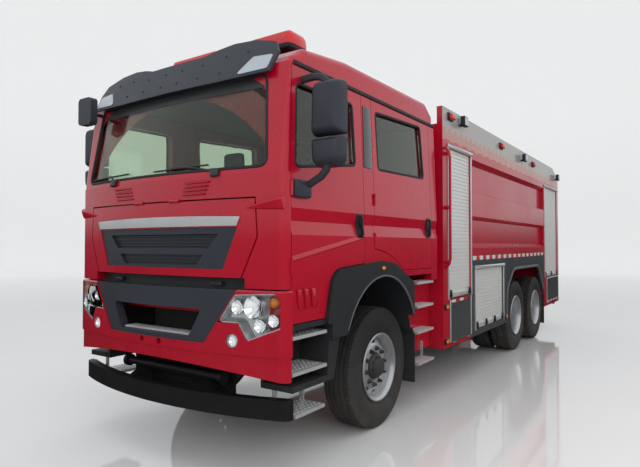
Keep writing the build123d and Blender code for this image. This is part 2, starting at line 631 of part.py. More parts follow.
# Cab front: bowed lower panel, leaning screen frame and the firewall
FRONT_Y = NOSE + 55
FLAP_TOP = 2055
FLAP_BOTTOM = 1475
FLAP_HINGES = (-220, 220)
FLAP_HALF = [(HALF_CAB - 368, FLAP_BOTTOM), (HALF_CAB - 232, FLAP_BOTTOM + 301), (HALF_CAB - 250, FLAP_TOP)]
FLAP = [*FLAP_HALF, *[(-x, z) for x, z in reversed(FLAP_HALF)]]
SCREEN_FOOT = SCREEN_BASE + 45
SCREEN_HEAD = GUTTER - 75
SCREEN = [
    (-HALF_CAB + 155, SCREEN_FOOT),
    (HALF_CAB - 155, SCREEN_FOOT),
    (HALF_CAB - 230, SCREEN_HEAD),
    (-HALF_CAB + 230, SCREEN_HEAD),
]
CORNER_X = HALF_CAB - 330
CORNER_FOOT = BUMPER_TOP + 10
with BuildPart() as cab_front:
    with BuildSketch(level(FLAP_BOTTOM)):
        bowed_outline(HALF_CAB - 4, FRONT_Y, CAB_BOW, DOOR_FRONT - SHUT_GAP, 80)
    extrude(amount=SCREEN_BASE - FLAP_BOTTOM)
    with BuildSketch(level(CORNER_FOOT)):
        bowed_outline(HALF_CAB - 4, FRONT_Y, CAB_BOW, DOOR_FRONT - SHUT_GAP, 80)
        Rectangle(2 * CORNER_X, 2 * OVERALL_LENGTH, mode=Mode.SUBTRACT)
    extrude(amount=FLAP_BOTTOM - CORNER_FOOT)
    with BuildSketch(level(SCREEN_BASE)):
        bowed_outline(HALF_CAB - 14, FRONT_Y, CAB_BOW, DOOR_FRONT - SHUT_GAP, 80)
    with BuildSketch(level(GUTTER)):
        bowed_outline(HALF_CAB - 45, FRONT_Y + SCREEN_LEAN, SCREEN_BOW, DOOR_FRONT + DOOR_LEAN - SHUT_GAP, 22)
    loft()
    with BuildSketch(level(CORNER_FOOT)):
        bowed_outline(HALF_CAB - 104, FRONT_Y + 110, CAB_BOW, DOOR_FRONT + 200, 50)
    extrude(amount=SCREEN_BASE - CORNER_FOOT, mode=Mode.SUBTRACT)
    with BuildSketch(level(SCREEN_BASE)):
        bowed_outline(HALF_CAB - 104, FRONT_Y + 70, CAB_BOW, DOOR_FRONT + 200, 50)
    with BuildSketch(level(GUTTER)):
        bowed_outline(HALF_CAB - 135, FRONT_Y + SCREEN_LEAN + 70, SCREEN_BOW, DOOR_FRONT + 300, 50)
    loft(mode=Mode.SUBTRACT)
    with BuildSketch(across(DOOR_FRONT)):
        Polygon(*SCREEN, align=None)
        fillet(vertices(), 70)
    extrude(amount=600, mode=Mode.SUBTRACT)
    with BuildSketch(across(DOOR_FRONT)):
        Polygon(*FLAP, align=None)
        offset(amount=FLAP_GAP)
    flap_prism = extrude(amount=600, mode=Mode.PRIVATE)
    with BuildSketch(level(FLAP_BOTTOM - 20)):
        bowed_outline(HALF_CAB - 60, FRONT_Y + 66, CAB_BOW, DOOR_FRONT + 200, 60)
    flap_keep = extrude(amount=700, mode=Mode.PRIVATE)
    add(flap_prism - flap_keep, mode=Mode.SUBTRACT)
    box(-HALF_CAB + 135, HALF_CAB - 135, AXLE_1 - 1500, AXLE_1 - 1470, FOOTWELL, FLAP_TOP + 60)
    hinge_lugs((HALF_CAB, FRONT_DOOR_AXIS, 0), "Z", FRONT_DOOR_HINGES)
    hinge_lugs((-HALF_CAB, FRONT_DOOR_AXIS, 0), "Z", FRONT_DOOR_HINGES)
    hinge_lugs((0, FRONT_Y, FLAP_TOP + FLAP_GAP / 2), "X", FLAP_HINGES)
save(cab_front, "cab_front")

with BuildPart() as windscreen:
    with BuildSketch(level(SCREEN_BASE)):
        bowed_outline(HALF_CAB - 34, FRONT_Y + 20, CAB_BOW, DOOR_FRONT + 60, 80)
    with BuildSketch(level(GUTTER)):
        bowed_outline(HALF_CAB - 65, FRONT_Y + SCREEN_LEAN + 20, SCREEN_BOW, DOOR_FRONT + 190, 40)
    loft()
    with BuildSketch(level(SCREEN_BASE)):
        bowed_outline(HALF_CAB - 34 - GLASS, FRONT_Y + 20 + GLASS, CAB_BOW, DOOR_FRONT + 60, 75)
    with BuildSketch(level(GUTTER)):
        bowed_outline(HALF_CAB - 65 - GLASS, FRONT_Y + SCREEN_LEAN + 20 + GLASS, SCREEN_BOW, DOOR_FRONT + 190, 35)
    loft(mode=Mode.SUBTRACT)
    with BuildSketch(across(DOOR_FRONT)):
        Polygon(*SCREEN, align=None)
        fillet(vertices(), 70)
    extrude(amount=600, mode=Mode.INTERSECT)
save(windscreen, "windscreen")

# Cab roof: crowned cap with rounded edges, open below
ROOF_WALL = 40
ROOF_HALF = HALF_CAB - 45


def roof_section(wall, corner):
    """Side outline of the roof, drawn in by a wall, with its two upper corners rounded."""
    Polygon(
        (AXLE_1 - 1430 + wall, GUTTER),
        (CAB_REAR - wall, GUTTER),
        (CAB_REAR - 10 - wall, GUTTER + 120),
        (CAB_REAR - 200, ROOF_TOP - wall),
        (AXLE_1 - 650, ROOF_TOP - 17 - wall),
        (AXLE_1 - 1240 + 0.4 * wall, ROOF_TOP - 80 - wall),
        (AXLE_1 - 1370 + wall, GUTTER + 70),
        align=None,
    )
    fillet(vertices().sort_by(Axis.X)[2:5:2], corner)


with BuildPart() as roof_hollow:
    with BuildSketch(along(-ROOF_HALF + ROOF_WALL)):
        roof_section(ROOF_WALL, 60)
    extrude(amount=2 * (ROOF_HALF - ROOF_WALL))
    fillet(faces().sort_by(Axis.X)[-1].edges().sort_by(Axis.Z)[1:], 30)
    fillet(faces().sort_by(Axis.X)[0].edges().sort_by(Axis.Z)[1:], 30)
with BuildPart() as cab_roof:
    with BuildSketch(along(-ROOF_HALF)):
        roof_section(0, 100)
    extrude(amount=2 * ROOF_HALF)
    fillet(faces().sort_by(Axis.X)[-1].edges().sort_by(Axis.Z)[1:], 70)
    fillet(faces().sort_by(Axis.X)[0].edges().sort_by(Axis.Z)[1:], 70)
    add(roof_hollow.part, mode=Mode.SUBTRACT)
save(cab_roof, "cab_roof")

# Sun visor over the screen, carried on brackets from the roof
VISOR_LOW = GUTTER - 100
VISOR_HIGH = GUTTER + 280
VISOR_BOW = 60
VISOR_HALF = [
    (HALF_CAB - 640, GUTTER - 88),
    (HALF_CAB - 165, GUTTER - 75),
    (HALF_CAB - 150, GUTTER + 90),
    (HALF_CAB - 200, GUTTER + 185),
    (HALF_CAB - 410, GUTTER + 240),
    (HALF_CAB - 620, GUTTER + 252),
    (HALF_CAB - 785, GUTTER + 230),
    (HALF_CAB - 910, GUTTER + 198),
]
with BuildPart() as sun_visor:
    with BuildSketch(level(VISOR_LOW)):
        bowed_outline(HALF_CAB - 100, FRONT_Y + 70, VISOR_BOW, DOOR_FRONT + 150, 60)
    with BuildSketch(level(VISOR_HIGH)):
        bowed_outline(HALF_CAB - 100, FRONT_Y + 255, VISOR_BOW, DOOR_FRONT + 300, 60)
    loft()
    with BuildSketch(level(VISOR_LOW)):
        bowed_outline(HALF_CAB - 130, FRONT_Y + 95, VISOR_BOW, DOOR_FRONT + 400, 50)
    with BuildSketch(level(VISOR_HIGH)):
        bowed_outline(HALF_CAB - 130, FRONT_Y + 280, VISOR_BOW, DOOR_FRONT + 400, 50)
    loft(mode=Mode.SUBTRACT)
    with BuildSketch(across(DOOR_FRONT + 400)):
        Polygon(*VISOR_HALF, *[(-x, z) for x, z in reversed(VISOR_HALF)], align=None)
    extrude(amount=900, mode=Mode.INTERSECT)
    for place in (-530, -30, 470):
        box(place, place + 60, FRONT_Y + 183, FRONT_Y + 360, GUTTER + 78, GUTTER + 96)
    add(cab_roof.part, mode=Mode.SUBTRACT)
save(sun_visor, "sun_visor")

# Doors: side section cut to the door's outline, with the window cut out and the glass let in
FRONT_WINDOW = [
    (AXLE_1 - 1420, SCREEN_BASE + 45),
    (AXLE_1 - 560, SCREEN_BASE + 160),
    (AXLE_1 - 580, GUTTER - 135),
    (AXLE_1 - 1375, GUTTER - 148),
]
REAR_WINDOW = [
    (AXLE_1 - 148, SCREEN_BASE + 172),
    (AXLE_1 + 884, SCREEN_BASE + 193),
    (AXLE_1 + 832, GUTTER - 75),
    (AXLE_1 - 172, GUTTER - 120),
]
with BuildPart() as door_front_left:
    with BuildSketch(across(PILLAR_FRONT - SHUT_GAP)):
        side_section(0, DOOR_THICKNESS)
    extrude(amount=PILLAR_FRONT - SHUT_GAP - DOOR_FRONT)
    with BuildSketch(along(SIDE_CUT)):
        Polygon(
            (DOOR_FRONT, CAB_BOTTOM),
            (PILLAR_FRONT - SHUT_GAP, CAB_BOTTOM),
            (PILLAR_FRONT - SHUT_GAP, GUTTER - SHUT_GAP),
            (DOOR_FRONT + DOOR_LEAN, GUTTER - SHUT_GAP),
            (DOOR_FRONT, SCREEN_BASE),
            align=None,
        )
    extrude(amount=500, mode=Mode.INTERSECT)
    with BuildSketch(along(SIDE_CUT)):
        arch_lip_outline(SHUT_GAP)
    extrude(amount=500, mode=Mode.SUBTRACT)
    with BuildSketch(along(SIDE_CUT)):
        arch_lip_outline(ARCH_REBATE)
    extrude(amount=HALF_CAB - DOOR_SKIN - SIDE_CUT, mode=Mode.SUBTRACT)
    with BuildSketch(along(SIDE_CUT)):
        Polygon(*FRONT_WINDOW, align=None)
        fillet(vertices(), 45)
    extrude(amount=500, mode=Mode.SUBTRACT)
    hinge_barrels((HALF_CAB, FRONT_DOOR_AXIS, 0), "Z", FRONT_DOOR_HINGES)
save(door_front_left, "door_front_left")
mirrored(door_front_left, "door_front_right")

with BuildPart() as glass_front_left:
    with BuildSketch(across(PILLAR_FRONT)):
        side_section(25, GLASS)
    extrude(amount=PILLAR_FRONT - DOOR_FRONT)
    with BuildSketch(along(SIDE_CUT)):
        Polygon(*FRONT_WINDOW, align=None)
        fillet(vertices(), 45)
    extrude(amount=500, mode=Mode.INTERSECT)
save(glass_front_left, "glass_front_left")
mirrored(glass_front_left, "glass_front_right")

with BuildPart() as door_rear_left:
    with BuildSketch(across(QUARTER - SHUT_GAP)):
        side_section(0, DOOR_THICKNESS)
    extrude(amount=QUARTER - PILLAR_REAR - 2 * SHUT_GAP)
    with BuildSketch(along(SIDE_CUT)):
        with BuildLine():
            Polyline(
                (AXLE_1 + 349, CAB_BOTTOM + 322),
                (QUARTER - SHUT_GAP, CAB_BOTTOM + 316),
                (QUARTER - SHUT_GAP, GUTTER - SHUT_GAP),
                (PILLAR_REAR + SHUT_GAP, GUTTER - SHUT_GAP),
                (PILLAR_REAR + SHUT_GAP, CAB_BOTTOM + 530),
            )
            ThreePointArc(
                (PILLAR_REAR + SHUT_GAP, CAB_BOTTOM + 530),
                (AXLE_1 + 63, CAB_BOTTOM + 470),
                (AXLE_1 + 349, CAB_BOTTOM + 322),
            )
        make_face()
    extrude(amount=500, mode=Mode.INTERSECT)
    with BuildSketch(along(SIDE_CUT)):
        Polygon(*REAR_WINDOW, align=None)
        fillet(vertices(), 45)
    extrude(amount=500, mode=Mode.SUBTRACT)
    hinge_barrels((HALF_CAB, REAR_DOOR_AXIS, 0), "Z", REAR_DOOR_HINGES)
save(door_rear_left, "door_rear_left")
mirrored(door_rear_left, "door_rear_right")

with BuildPart() as glass_rear_left:
    with BuildSketch(across(QUARTER)):
        side_section(25, GLASS)
    extrude(amount=QUARTER - PILLAR_REAR)
    with BuildSketch(along(SIDE_CUT)):
        Polygon(*REAR_WINDOW, align=None)
        fillet(vertices(), 45)
    extrude(amount=500, mode=Mode.INTERSECT)
save(glass_rear_left, "glass_rear_left")
mirrored(glass_rear_left, "glass_rear_right")

# Door mirrors: two housings on a post, held to the door by an arm at each end
MIRROR_Y = AXLE_1 - 1300
MIRROR_IN = HALF_CAB + 50
MIRROR_OUT = HALF_CAB + 320
MIRROR_SPLIT = SCREEN_BASE + 267
MIRROR_POST = HALF_CAB + 180
with BuildPart() as mirror_left:
    box(MIRROR_IN, MIRROR_OUT, MIRROR_Y - 65, MIRROR_Y + 65, MIRROR_SPLIT + 8, GUTTER - 145)
    box(MIRROR_IN + 5, MIRROR_OUT - 5, MIRROR_Y - 60, MIRROR_Y + 60, SCREEN_BASE + 40, MIRROR_SPLIT - 7)
    fillet(edges().filter_by(Axis.Y), 40)
    fillet(faces().filter_by(Axis.Y).edges(), 18)
    box(MIRROR_POST - 15, MIRROR_POST + 15, MIRROR_Y - 15, MIRROR_Y + 15, SCREEN_BASE - 45, GUTTER - 90)
    box(HALF_CAB - 60, MIRROR_POST + 15, MIRROR_Y - 32, MIRROR_Y + 28, GUTTER - 136, GUTTER - 76)
    box(HALF_CAB - 60, MIRROR_POST + 15, MIRROR_Y - 20, MIRROR_Y + 20, SCREEN_BASE - 50, SCREEN_BASE - 25)
    box(HALF_CAB - 60, HALF_CAB + 30, MIRROR_Y - 165, MIRROR_Y + 30, SCREEN_BASE - 180, SCREEN_BASE - 50)
    add(door_front_left.part, mode=Mode.SUBTRACT)
    box(
        HALF_CAB - 240, HALF_CAB - 45, MIRROR_Y - 300, MIRROR_Y + 300, SCREEN_BASE - 240, GUTTER - 60,
        mode=Mode.SUBTRACT,
    )
save(mirror_left, "mirror_left")
mirrored(mirror_left, "mirror_right")

with BuildPart() as front_mirror:
    box(-HALF_CAB + 90, -HALF_CAB + 290, FRONT_Y + 10, FRONT_Y + 80, GUTTER - 225, GUTTER + 25)
    fillet(edges().filter_by(Axis.Y), 40)
    box(-HALF_CAB + 165, -HALF_CAB + 195, FRONT_Y + 80, FRONT_Y + 220, GUTTER - 120, GUTTER - 95)
    add(cab_front.part, mode=Mode.SUBTRACT)
save(front_mirror, "front_mirror")

# Front service flap, hinged at its top, with the grille let in
GRILLE_FOOT = HALF_CAB - 528
GRILLE_HEAD = HALF_CAB - 396
GRILLE = [
    (-GRILLE_FOOT, FLAP_BOTTOM + 60),
    (GRILLE_FOOT, FLAP_BOTTOM + 60),
    (GRILLE_HEAD, FLAP_BOTTOM + 375),
    (-GRILLE_HEAD, FLAP_BOTTOM + 375),
]
UPPER_SLOT = [(GRILLE_FOOT - 152, FLAP_BOTTOM + 217), (GRILLE_FOOT - 47, FLAP_BOTTOM + 325)]
LOWER_SLOT = [(GRILLE_FOOT - 272, FLAP_BOTTOM + 85), (GRILLE_FOOT - 202, FLAP_BOTTOM + 165)]
with BuildPart() as front_flap:
    with BuildSketch(level(FLAP_BOTTOM)):
        bowed_outline(HALF_CAB - 4, FRONT_Y, CAB_BOW, DOOR_FRONT + 200, 80)
    extrude(amount=FLAP_TOP - FLAP_BOTTOM)
    with BuildSketch(level(FLAP_BOTTOM)):
        bowed_outline(HALF_CAB - 60, FRONT_Y + 60, CAB_BOW, DOOR_FRONT + 200, 60)
    extrude(amount=FLAP_TOP - FLAP_BOTTOM, mode=Mode.SUBTRACT)
    with BuildSketch(across(DOOR_FRONT)):
        Polygon(*FLAP, align=None)
    extrude(amount=600, mode=Mode.INTERSECT)
    with BuildSketch(across(DOOR_FRONT)):
        Polygon(*GRILLE, align=None)
    extrude(amount=600, mode=Mode.SUBTRACT)
    hinge_barrels((0, FRONT_Y, FLAP_TOP + FLAP_GAP / 2), "X", FLAP_HINGES)
save(front_flap, "front_flap")

with BuildPart() as upper_grille:
    with BuildSketch(level(FLAP_BOTTOM)):
        bowed_outline(HALF_CAB - 12, FRONT_Y + 8, CAB_BOW, DOOR_FRONT + 200, 70)
    extrude(amount=FLAP_TOP - FLAP_BOTTOM)
    with BuildSketch(level(FLAP_BOTTOM)):
        bowed_outline(HALF_CAB - 60, FRONT_Y + 54, CAB_BOW, DOOR_FRONT + 200, 60)
    extrude(amount=FLAP_TOP - FLAP_BOTTOM, mode=Mode.SUBTRACT)
    with BuildSketch(across(DOOR_FRONT)):
        Polygon(*GRILLE, align=None)
    extrude(amount=600, mode=Mode.INTERSECT)
    with BuildSketch(across(DOOR_FRONT)):
        Polygon(*UPPER_SLOT, *[(-x, z) for x, z in reversed(UPPER_SLOT)], align=None)
        Polygon(*LOWER_SLOT, *[(-x, z) for x, z in reversed(LOWER_SLOT)], align=None)
    slots = extrude(amount=600, mode=Mode.PRIVATE)
    with BuildSketch(level(FLAP_BOTTOM)):
        bowed_outline(HALF_CAB - 60, FRONT_Y + 36, CAB_BOW, DOOR_FRONT + 200, 60)
    floor_of_slots = extrude(amount=FLAP_TOP - FLAP_BOTTOM, mode=Mode.PRIVATE)
    add(slots - floor_of_slots, mode=Mode.SUBTRACT)
save(upper_grille, "upper_grille")

# Dashboard with the steering wheel, and the seats
with BuildPart() as dashboard:
    with BuildSketch(along(-FLOOR_HALF + 30)):
        Polygon(
            (AXLE_1 - 1470, 1840),
            (AXLE_1 - 1470, 2150),
            (AXLE_1 - 1380, 2205),
            (AXLE_1 - 1180, 2160),
            (AXLE_1 - 1110, 2060),
            (AXLE_1 - 1140, 1900),
            (AXLE_1 - 1260, 1800),
            align=None,
        )
        fillet(vertices().sort_by(Axis.X)[2:], 40)
    extrude(amount=2 * (FLOOR_HALF - 30))
    wheel_plane = Plane(origin=(560, AXLE_1 - 930, 2170), z_dir=(0, 0.64, 0.77))
    with BuildSketch(Plane(origin=(560 + 215, AXLE_1 - 930, 2170), z_dir=(0, 0.77, -0.64))):
        Circle(17)
    revolve(axis=Axis((560, AXLE_1 - 930, 2170), (0, 0.64, 0.77)))
    with BuildSketch(wheel_plane):
        Circle(62)
        Rectangle(430, 42)
    extrude(amount=-24)
    with BuildSketch(wheel_plane.offset(-24)):
        Circle(38)
    extrude(amount=-330)
save(dashboard, "dashboard")

with BuildPart() as seats:
    for centre in (-560, 560):
        box(centre - 180, centre + 180, AXLE_1 - 650, AXLE_1 - 250, CAB_FLOOR, CAB_FLOOR + 200)
        with BuildSketch(along(centre - 250)):
            Polygon(
                (AXLE_1 - 720, CAB_FLOOR + 200),
                (AXLE_1 - 720, CAB_FLOOR + 330),
                (AXLE_1 - 330, CAB_FLOOR + 310),
                (AXLE_1 - 240, CAB_FLOOR + 1000),
                (AXLE_1 - 120, CAB_FLOOR + 1000),
                (AXLE_1 - 190, CAB_FLOOR + 200),
                align=None,
            )
            fillet(vertices(), 45)
        extrude(amount=500)
        box(centre - 130, centre + 130, AXLE_1 - 220, AXLE_1 - 130, CAB_FLOOR + 990, CAB_FLOOR + 1190)
    box(-FLOOR_HALF + 140, FLOOR_HALF - 140, AXLE_1 + 640, AXLE_1 + 1090, CAB_FLOOR, CAB_FLOOR + 220)
    with BuildSketch(along(-FLOOR_HALF + 90)):
        Polygon(
            (AXLE_1 + 560, CAB_FLOOR + 220),
            (AXLE_1 + 560, CAB_FLOOR + 350),
            (AXLE_1 + 940, CAB_FLOOR + 330),
            (AXLE_1 + 1010, CAB_FLOOR + 1050),
            (AXLE_1 + 1120, CAB_FLOOR + 1050),
            (AXLE_1 + 1120, CAB_FLOOR + 220),
            align=None,
        )
        fillet(vertices(), 40)
    extrude(amount=2 * (FLOOR_HALF - 90))
save(seats, "seats")

# Light bar on the roof
with BuildPart() as light_bar:
    box(-770, 770, AXLE_1 - 910, AXLE_1 - 600, ROOF_TOP + 125, ROOF_TOP + 300)
    fillet(edges().filter_by(Axis.X), 50)
    fillet(edges().filter_by(Axis.Y), 30)
    for centre in (-560, 560):
        box(centre - 60, centre + 60, AXLE_1 - 850, AXLE_1 - 660, ROOF_TOP - 50, ROOF_TOP + 135)
    add(cab_roof.part, mode=Mode.SUBTRACT)
    box(-700, 700, AXLE_1 - 1100, AXLE_1 - 500, ROOF_TOP - 150, ROOF_TOP - 40, mode=Mode.SUBTRACT)
save(light_bar, "light_bar")

# Water tank: flush bands and two recessed bands along each side, deck between parapets
RECESS_DEPTH = 65
RECESSES = [
    [SKIRT_TOP + TANK_HEIGHT * share for share in (0.0645, 0.1032, 0.3032, 0.3323)],
    [SKIRT_TOP + TANK_HEIGHT * share for share in (0.5323, 0.5484, 0.7742, 0.8129)],
]
with BuildPart() as water_tank:
    with BuildSketch(across(TANK_REAR)):
        Polygon(
            (0, RAIL_TOP),
            (560, RAIL_TOP),
            (560, TANK_STEP),
            (HALF_BODY - 65, TANK_STEP),
            (HALF_BODY - 65, SKIRT_TOP),
            (HALF_BODY, SKIRT_TOP),
            (HALF_BODY, PARAPET),
            (HALF_BODY - 70, PARAPET),
            (HALF_BODY - 70, DECK),
            (0, DECK),
            align=None,
        )
    extrude(amount=TANK_REAR - TANK_FRONT)
    with BuildSketch(across(TANK_REAR - 20)):
        for low, foot, head, high in RECESSES:
            Polygon(
                (HALF_BODY, low),
                (HALF_BODY - RECESS_DEPTH, foot),
                (HALF_BODY - RECESS_DEPTH, head),
                (HALF_BODY, high),
                align=None,
            )
    extrude(amount=TANK_REAR - TANK_FRONT - 64, mode=Mode.SUBTRACT)
    mirror(about=Plane.YZ)
    with BuildSketch(level(DECK)):
        with Locations((0, TANK_FRONT + 1500), (0, TANK_REAR - 900)):
            Circle(280)
    extrude(amount=45)
save(water_tank, "water_tank")


def locker_section(pod_bottom):
    """Half section of an equipment body: pods beside the frame, deck and parapet."""
    Polygon(
        (0, RAIL_TOP),
        (700, RAIL_TOP),
        (700, pod_bottom),
        (HALF_BODY, pod_bottom),
        (HALF_BODY, PARAPET),
        (HALF_BODY - 70, PARAPET),
        (HALF_BODY - 70, DECK),
        (0, DECK),
        align=None,
    )


# Front equipment locker, open through behind its shutters, with the step panels of the rear doors
SHUTTER_SILL = 1085
SHUTTER_HEAD = DECK - 260
MONITOR_Y = BODY_FRONT + 480
with BuildPart() as front_locker:
    with BuildSketch(across(TANK_FRONT)):
        locker_section(SKIRT_BOTTOM)
    extrude(amount=TANK_FRONT - BODY_FRONT)
    box(-1, HALF_BODY - WALL, BODY_FRONT + WALL, TANK_FRONT - 26, SHUTTER_SILL + 30, DECK - WALL, mode=Mode.SUBTRACT)
    box(0, HALF_BODY, BODY_FRONT + 168, TANK_FRONT - 26, SHUTTER_SILL, SHUTTER_HEAD, mode=Mode.SUBTRACT)
    box(750, HALF_BODY - WALL, BODY_FRONT + WALL, TANK_FRONT - 26, SKIRT_BOTTOM + 40, RAIL_TOP - 20, mode=Mode.SUBTRACT)
    box(
        HALF_BODY - WALL, HALF_BODY, BODY_FRONT + 200, TANK_FRONT, SKIRT_BOTTOM + 30, SHUTTER_SILL - 8, mode=Mode.SUBTRACT
    )
    hinge_lugs((HALF_BODY, 0, SKIRT_BOTTOM + 33), "Y", (BODY_FRONT + 330, TANK_FRONT - 150))
    box(HALF_BODY - 230, HALF_BODY - 175, AXLE_1 + 690, BODY_FRONT, SKIRT_BOTTOM + 25, CAB_BOTTOM + 180)
    mirror(about=Plane.YZ)
    with BuildSketch(level(DECK)):
        with Locations((0, MONITOR_Y)):
            Circle(75)
    extrude(amount=110)
save(front_locker, "front_locker")

with BuildPart() as rear_locker:
    with BuildSketch(across(BODY_REAR)):
        locker_section(SKIRT_BOTTOM - 10)
    extrude(amount=BODY_REAR - TANK_REAR)
    box(-1, HALF_BODY - WALL, TANK_REAR + 30, BODY_REAR - WALL, SHUTTER_SILL + 30, DECK - WALL, mode=Mode.SUBTRACT)
    box(0, HALF_BODY, TANK_REAR + 50, BODY_REAR - 150, SHUTTER_SILL, SHUTTER_HEAD, mode=Mode.SUBTRACT)
    box(750, HALF_BODY - WALL, TANK_REAR + 30, BODY_REAR - WALL, SKIRT_BOTTOM + 30, RAIL_TOP - 20, mode=Mode.SUBTRACT)
    box(
        HALF_BODY - WALL,
        HALF_BODY,
        TANK_REAR + 204,
        BODY_REAR - 14,
        SKIRT_BOTTOM + 20,
        SHUTTER_SILL - 8,
        mode=Mode.SUBTRACT,
    )
    hinge_lugs((HALF_BODY, 0, SKIRT_BOTTOM + 23), "Y", (TANK_REAR + 400, BODY_REAR - 220))
    box(-1, 620, BODY_REAR - WALL, BODY_REAR, SHUTTER_SILL + 40, SHUTTER_HEAD, mode=Mode.SUBTRACT)
    with BuildSketch(along(0)):
        Polygon((BODY_REAR - 550, PARAPET), (BODY_REAR, PARAPET), (BODY_REAR, PARAPET - 190), align=None)
    extrude(amount=HALF_BODY, mode=Mode.SUBTRACT)
    mirror(about=Plane.YZ)
save(rear_locker, "rear_locker")

# Side skirts: the low locker ahead of the rear wheels and the panel over the wheels
SKIRT_LOCKER_REAR = AXLE_2 - 752
with BuildPart() as side_skirts:
    with BuildSketch(across(SKIRT_LOCKER_REAR)):
        Polygon(
            (700, SKIRT_BOTTOM),
            (HALF_BODY, SKIRT_BOTTOM),
            (HALF_BODY, SKIRT_TOP),
            (HALF_BODY - 65, SKIRT_TOP),
            (HALF_BODY - 65, TANK_STEP),
            (700, TANK_STEP),
            align=None,
        )
    extrude(amount=SKIRT_LOCKER_REAR - TANK_FRONT)
    box(
        750, HALF_BODY - WALL, TANK_FRONT + 60, SKIRT_LOCKER_REAR - WALL, SKIRT_BOTTOM + 40, LOW_HEAD, mode=Mode.SUBTRACT
    )
    box(
        HALF_BODY - 150,
        HALF_BODY,
        TANK_FRONT + 152,
        SKIRT_LOCKER_REAR - 62,
        SKIRT_BOTTOM + 80,
        LOW_HEAD,
        mode=Mode.SUBTRACT,
    )
    with BuildSketch(along(HALF_BODY - 60)):
        Polygon(
            (SKIRT_LOCKER_REAR, SKIRT_BOTTOM),
            (AXLE_2 - 615, SKIRT_BOTTOM),
            (AXLE_2 - 588, 1010),
            (AXLE_2 - 200, 1335),
            (AXLE_3 + 240, 1335),
            (TANK_REAR, 790),
            (TANK_REAR, SKIRT_TOP),
            (SKIRT_LOCKER_REAR, SKIRT_TOP),
            align=None,
        )
    extrude(amount=60)
    mirror(about=Plane.YZ)
save(side_skirts, "side_skirts")


def slatted(depth, width, bottom, top):
    """Section of a roller shutter: flat back, rounded slats in front, a plain bar at the foot."""
    slat_count = round((top - bottom) / SLAT_PITCH)
    pitch = (top - bottom) / slat_count
    front = []
    for i in range(slat_count):
        z = bottom + i * pitch
        front += [(depth + width - 7, z), (depth + width, z + 6), (depth + width, z + pitch - 6)]
    front.append((depth + width - 7, top))
    Polygon((depth, bottom), *front, (depth, top), align=None)


# Roller shutters, closed
with BuildPart() as shutters:
    with BuildSketch(across(TANK_FRONT - 26)):
        slatted(HALF_BODY - 40, 22, SHUTTER_SILL, SHUTTER_HEAD)
    extrude(amount=TANK_FRONT - 26 - (BODY_FRONT + 168))
    with BuildSketch(across(BODY_REAR - 150)):
        slatted(HALF_BODY - 40, 22, SHUTTER_SILL, SHUTTER_HEAD)
    extrude(amount=BODY_REAR - 150 - (TANK_REAR + 50))
    with BuildSketch(across(SKIRT_LOCKER_REAR - 62)):
        slatted(HALF_BODY - 40, 22, SKIRT_BOTTOM + 80, LOW_HEAD)
    extrude(amount=SKIRT_LOCKER_REAR - 62 - (TANK_FRONT + 152))
    mirror(about=Plane.YZ)
    with BuildSketch(along(-620)):
        slatted(BODY_REAR - 40, 22, SHUTTER_SILL + 40, SHUTTER_HEAD)
    extrude(amount=1240)
save(shutters, "shutters")

# Fold-down flaps under the shutters
for name, front, rear, axis_z, hinges in (
    ("flap_front", BODY_FRONT + 206, TANK_FRONT - SHUT_GAP, SKIRT_BOTTOM + 33, (BODY_FRONT + 330, TANK_FRONT - 150)),
    ("flap_rear", TANK_REAR + 210, BODY_REAR - 20, SKIRT_BOTTOM + 23, (TANK_REAR + 400, BODY_REAR - 220)),
):
    with BuildPart() as flap:
        box(HALF_BODY - 44, HALF_BODY, front, rear, axis_z + 3, SHUTTER_SILL - 14)
        hinge_barrels((HALF_BODY, 0, axis_z), "Y", hinges)
    save(flap, name + "_left")
    mirrored(flap, name + "_right")

# Lamps on the body: beacons and work lamps along the parapets, tail lamps at the back
with BuildPart() as body_lamps:
    for y, z in ((AXLE_1 + 1589, DECK + 109), (AXLE_1 + 3707, DECK + 85), (AXLE_1 + 5731, DECK + 59)):
        box(HALF_BODY, HALF_BODY + 55, y - 75, y + 75, z - 45, z + 45)
    for y, z in ((AXLE_1 + 1941, DECK + 109), (AXLE_1 + 4938, DECK + 64), (BODY_REAR - 300, DECK + 20)):
        box(HALF_BODY, HALF_BODY + 40, y - 25, y + 25, z - 50, z - 20)
        box(HALF_BODY + 30, HALF_BODY + 90, y - 70, y + 70, z - 60, z + 70)
    box(HALF_BODY - 300, HALF_BODY - 70, BODY_REAR, BODY_REAR + 40, 640, 760)
    mirror(about=Plane.YZ)
save(body_lamps, "body_lamps")

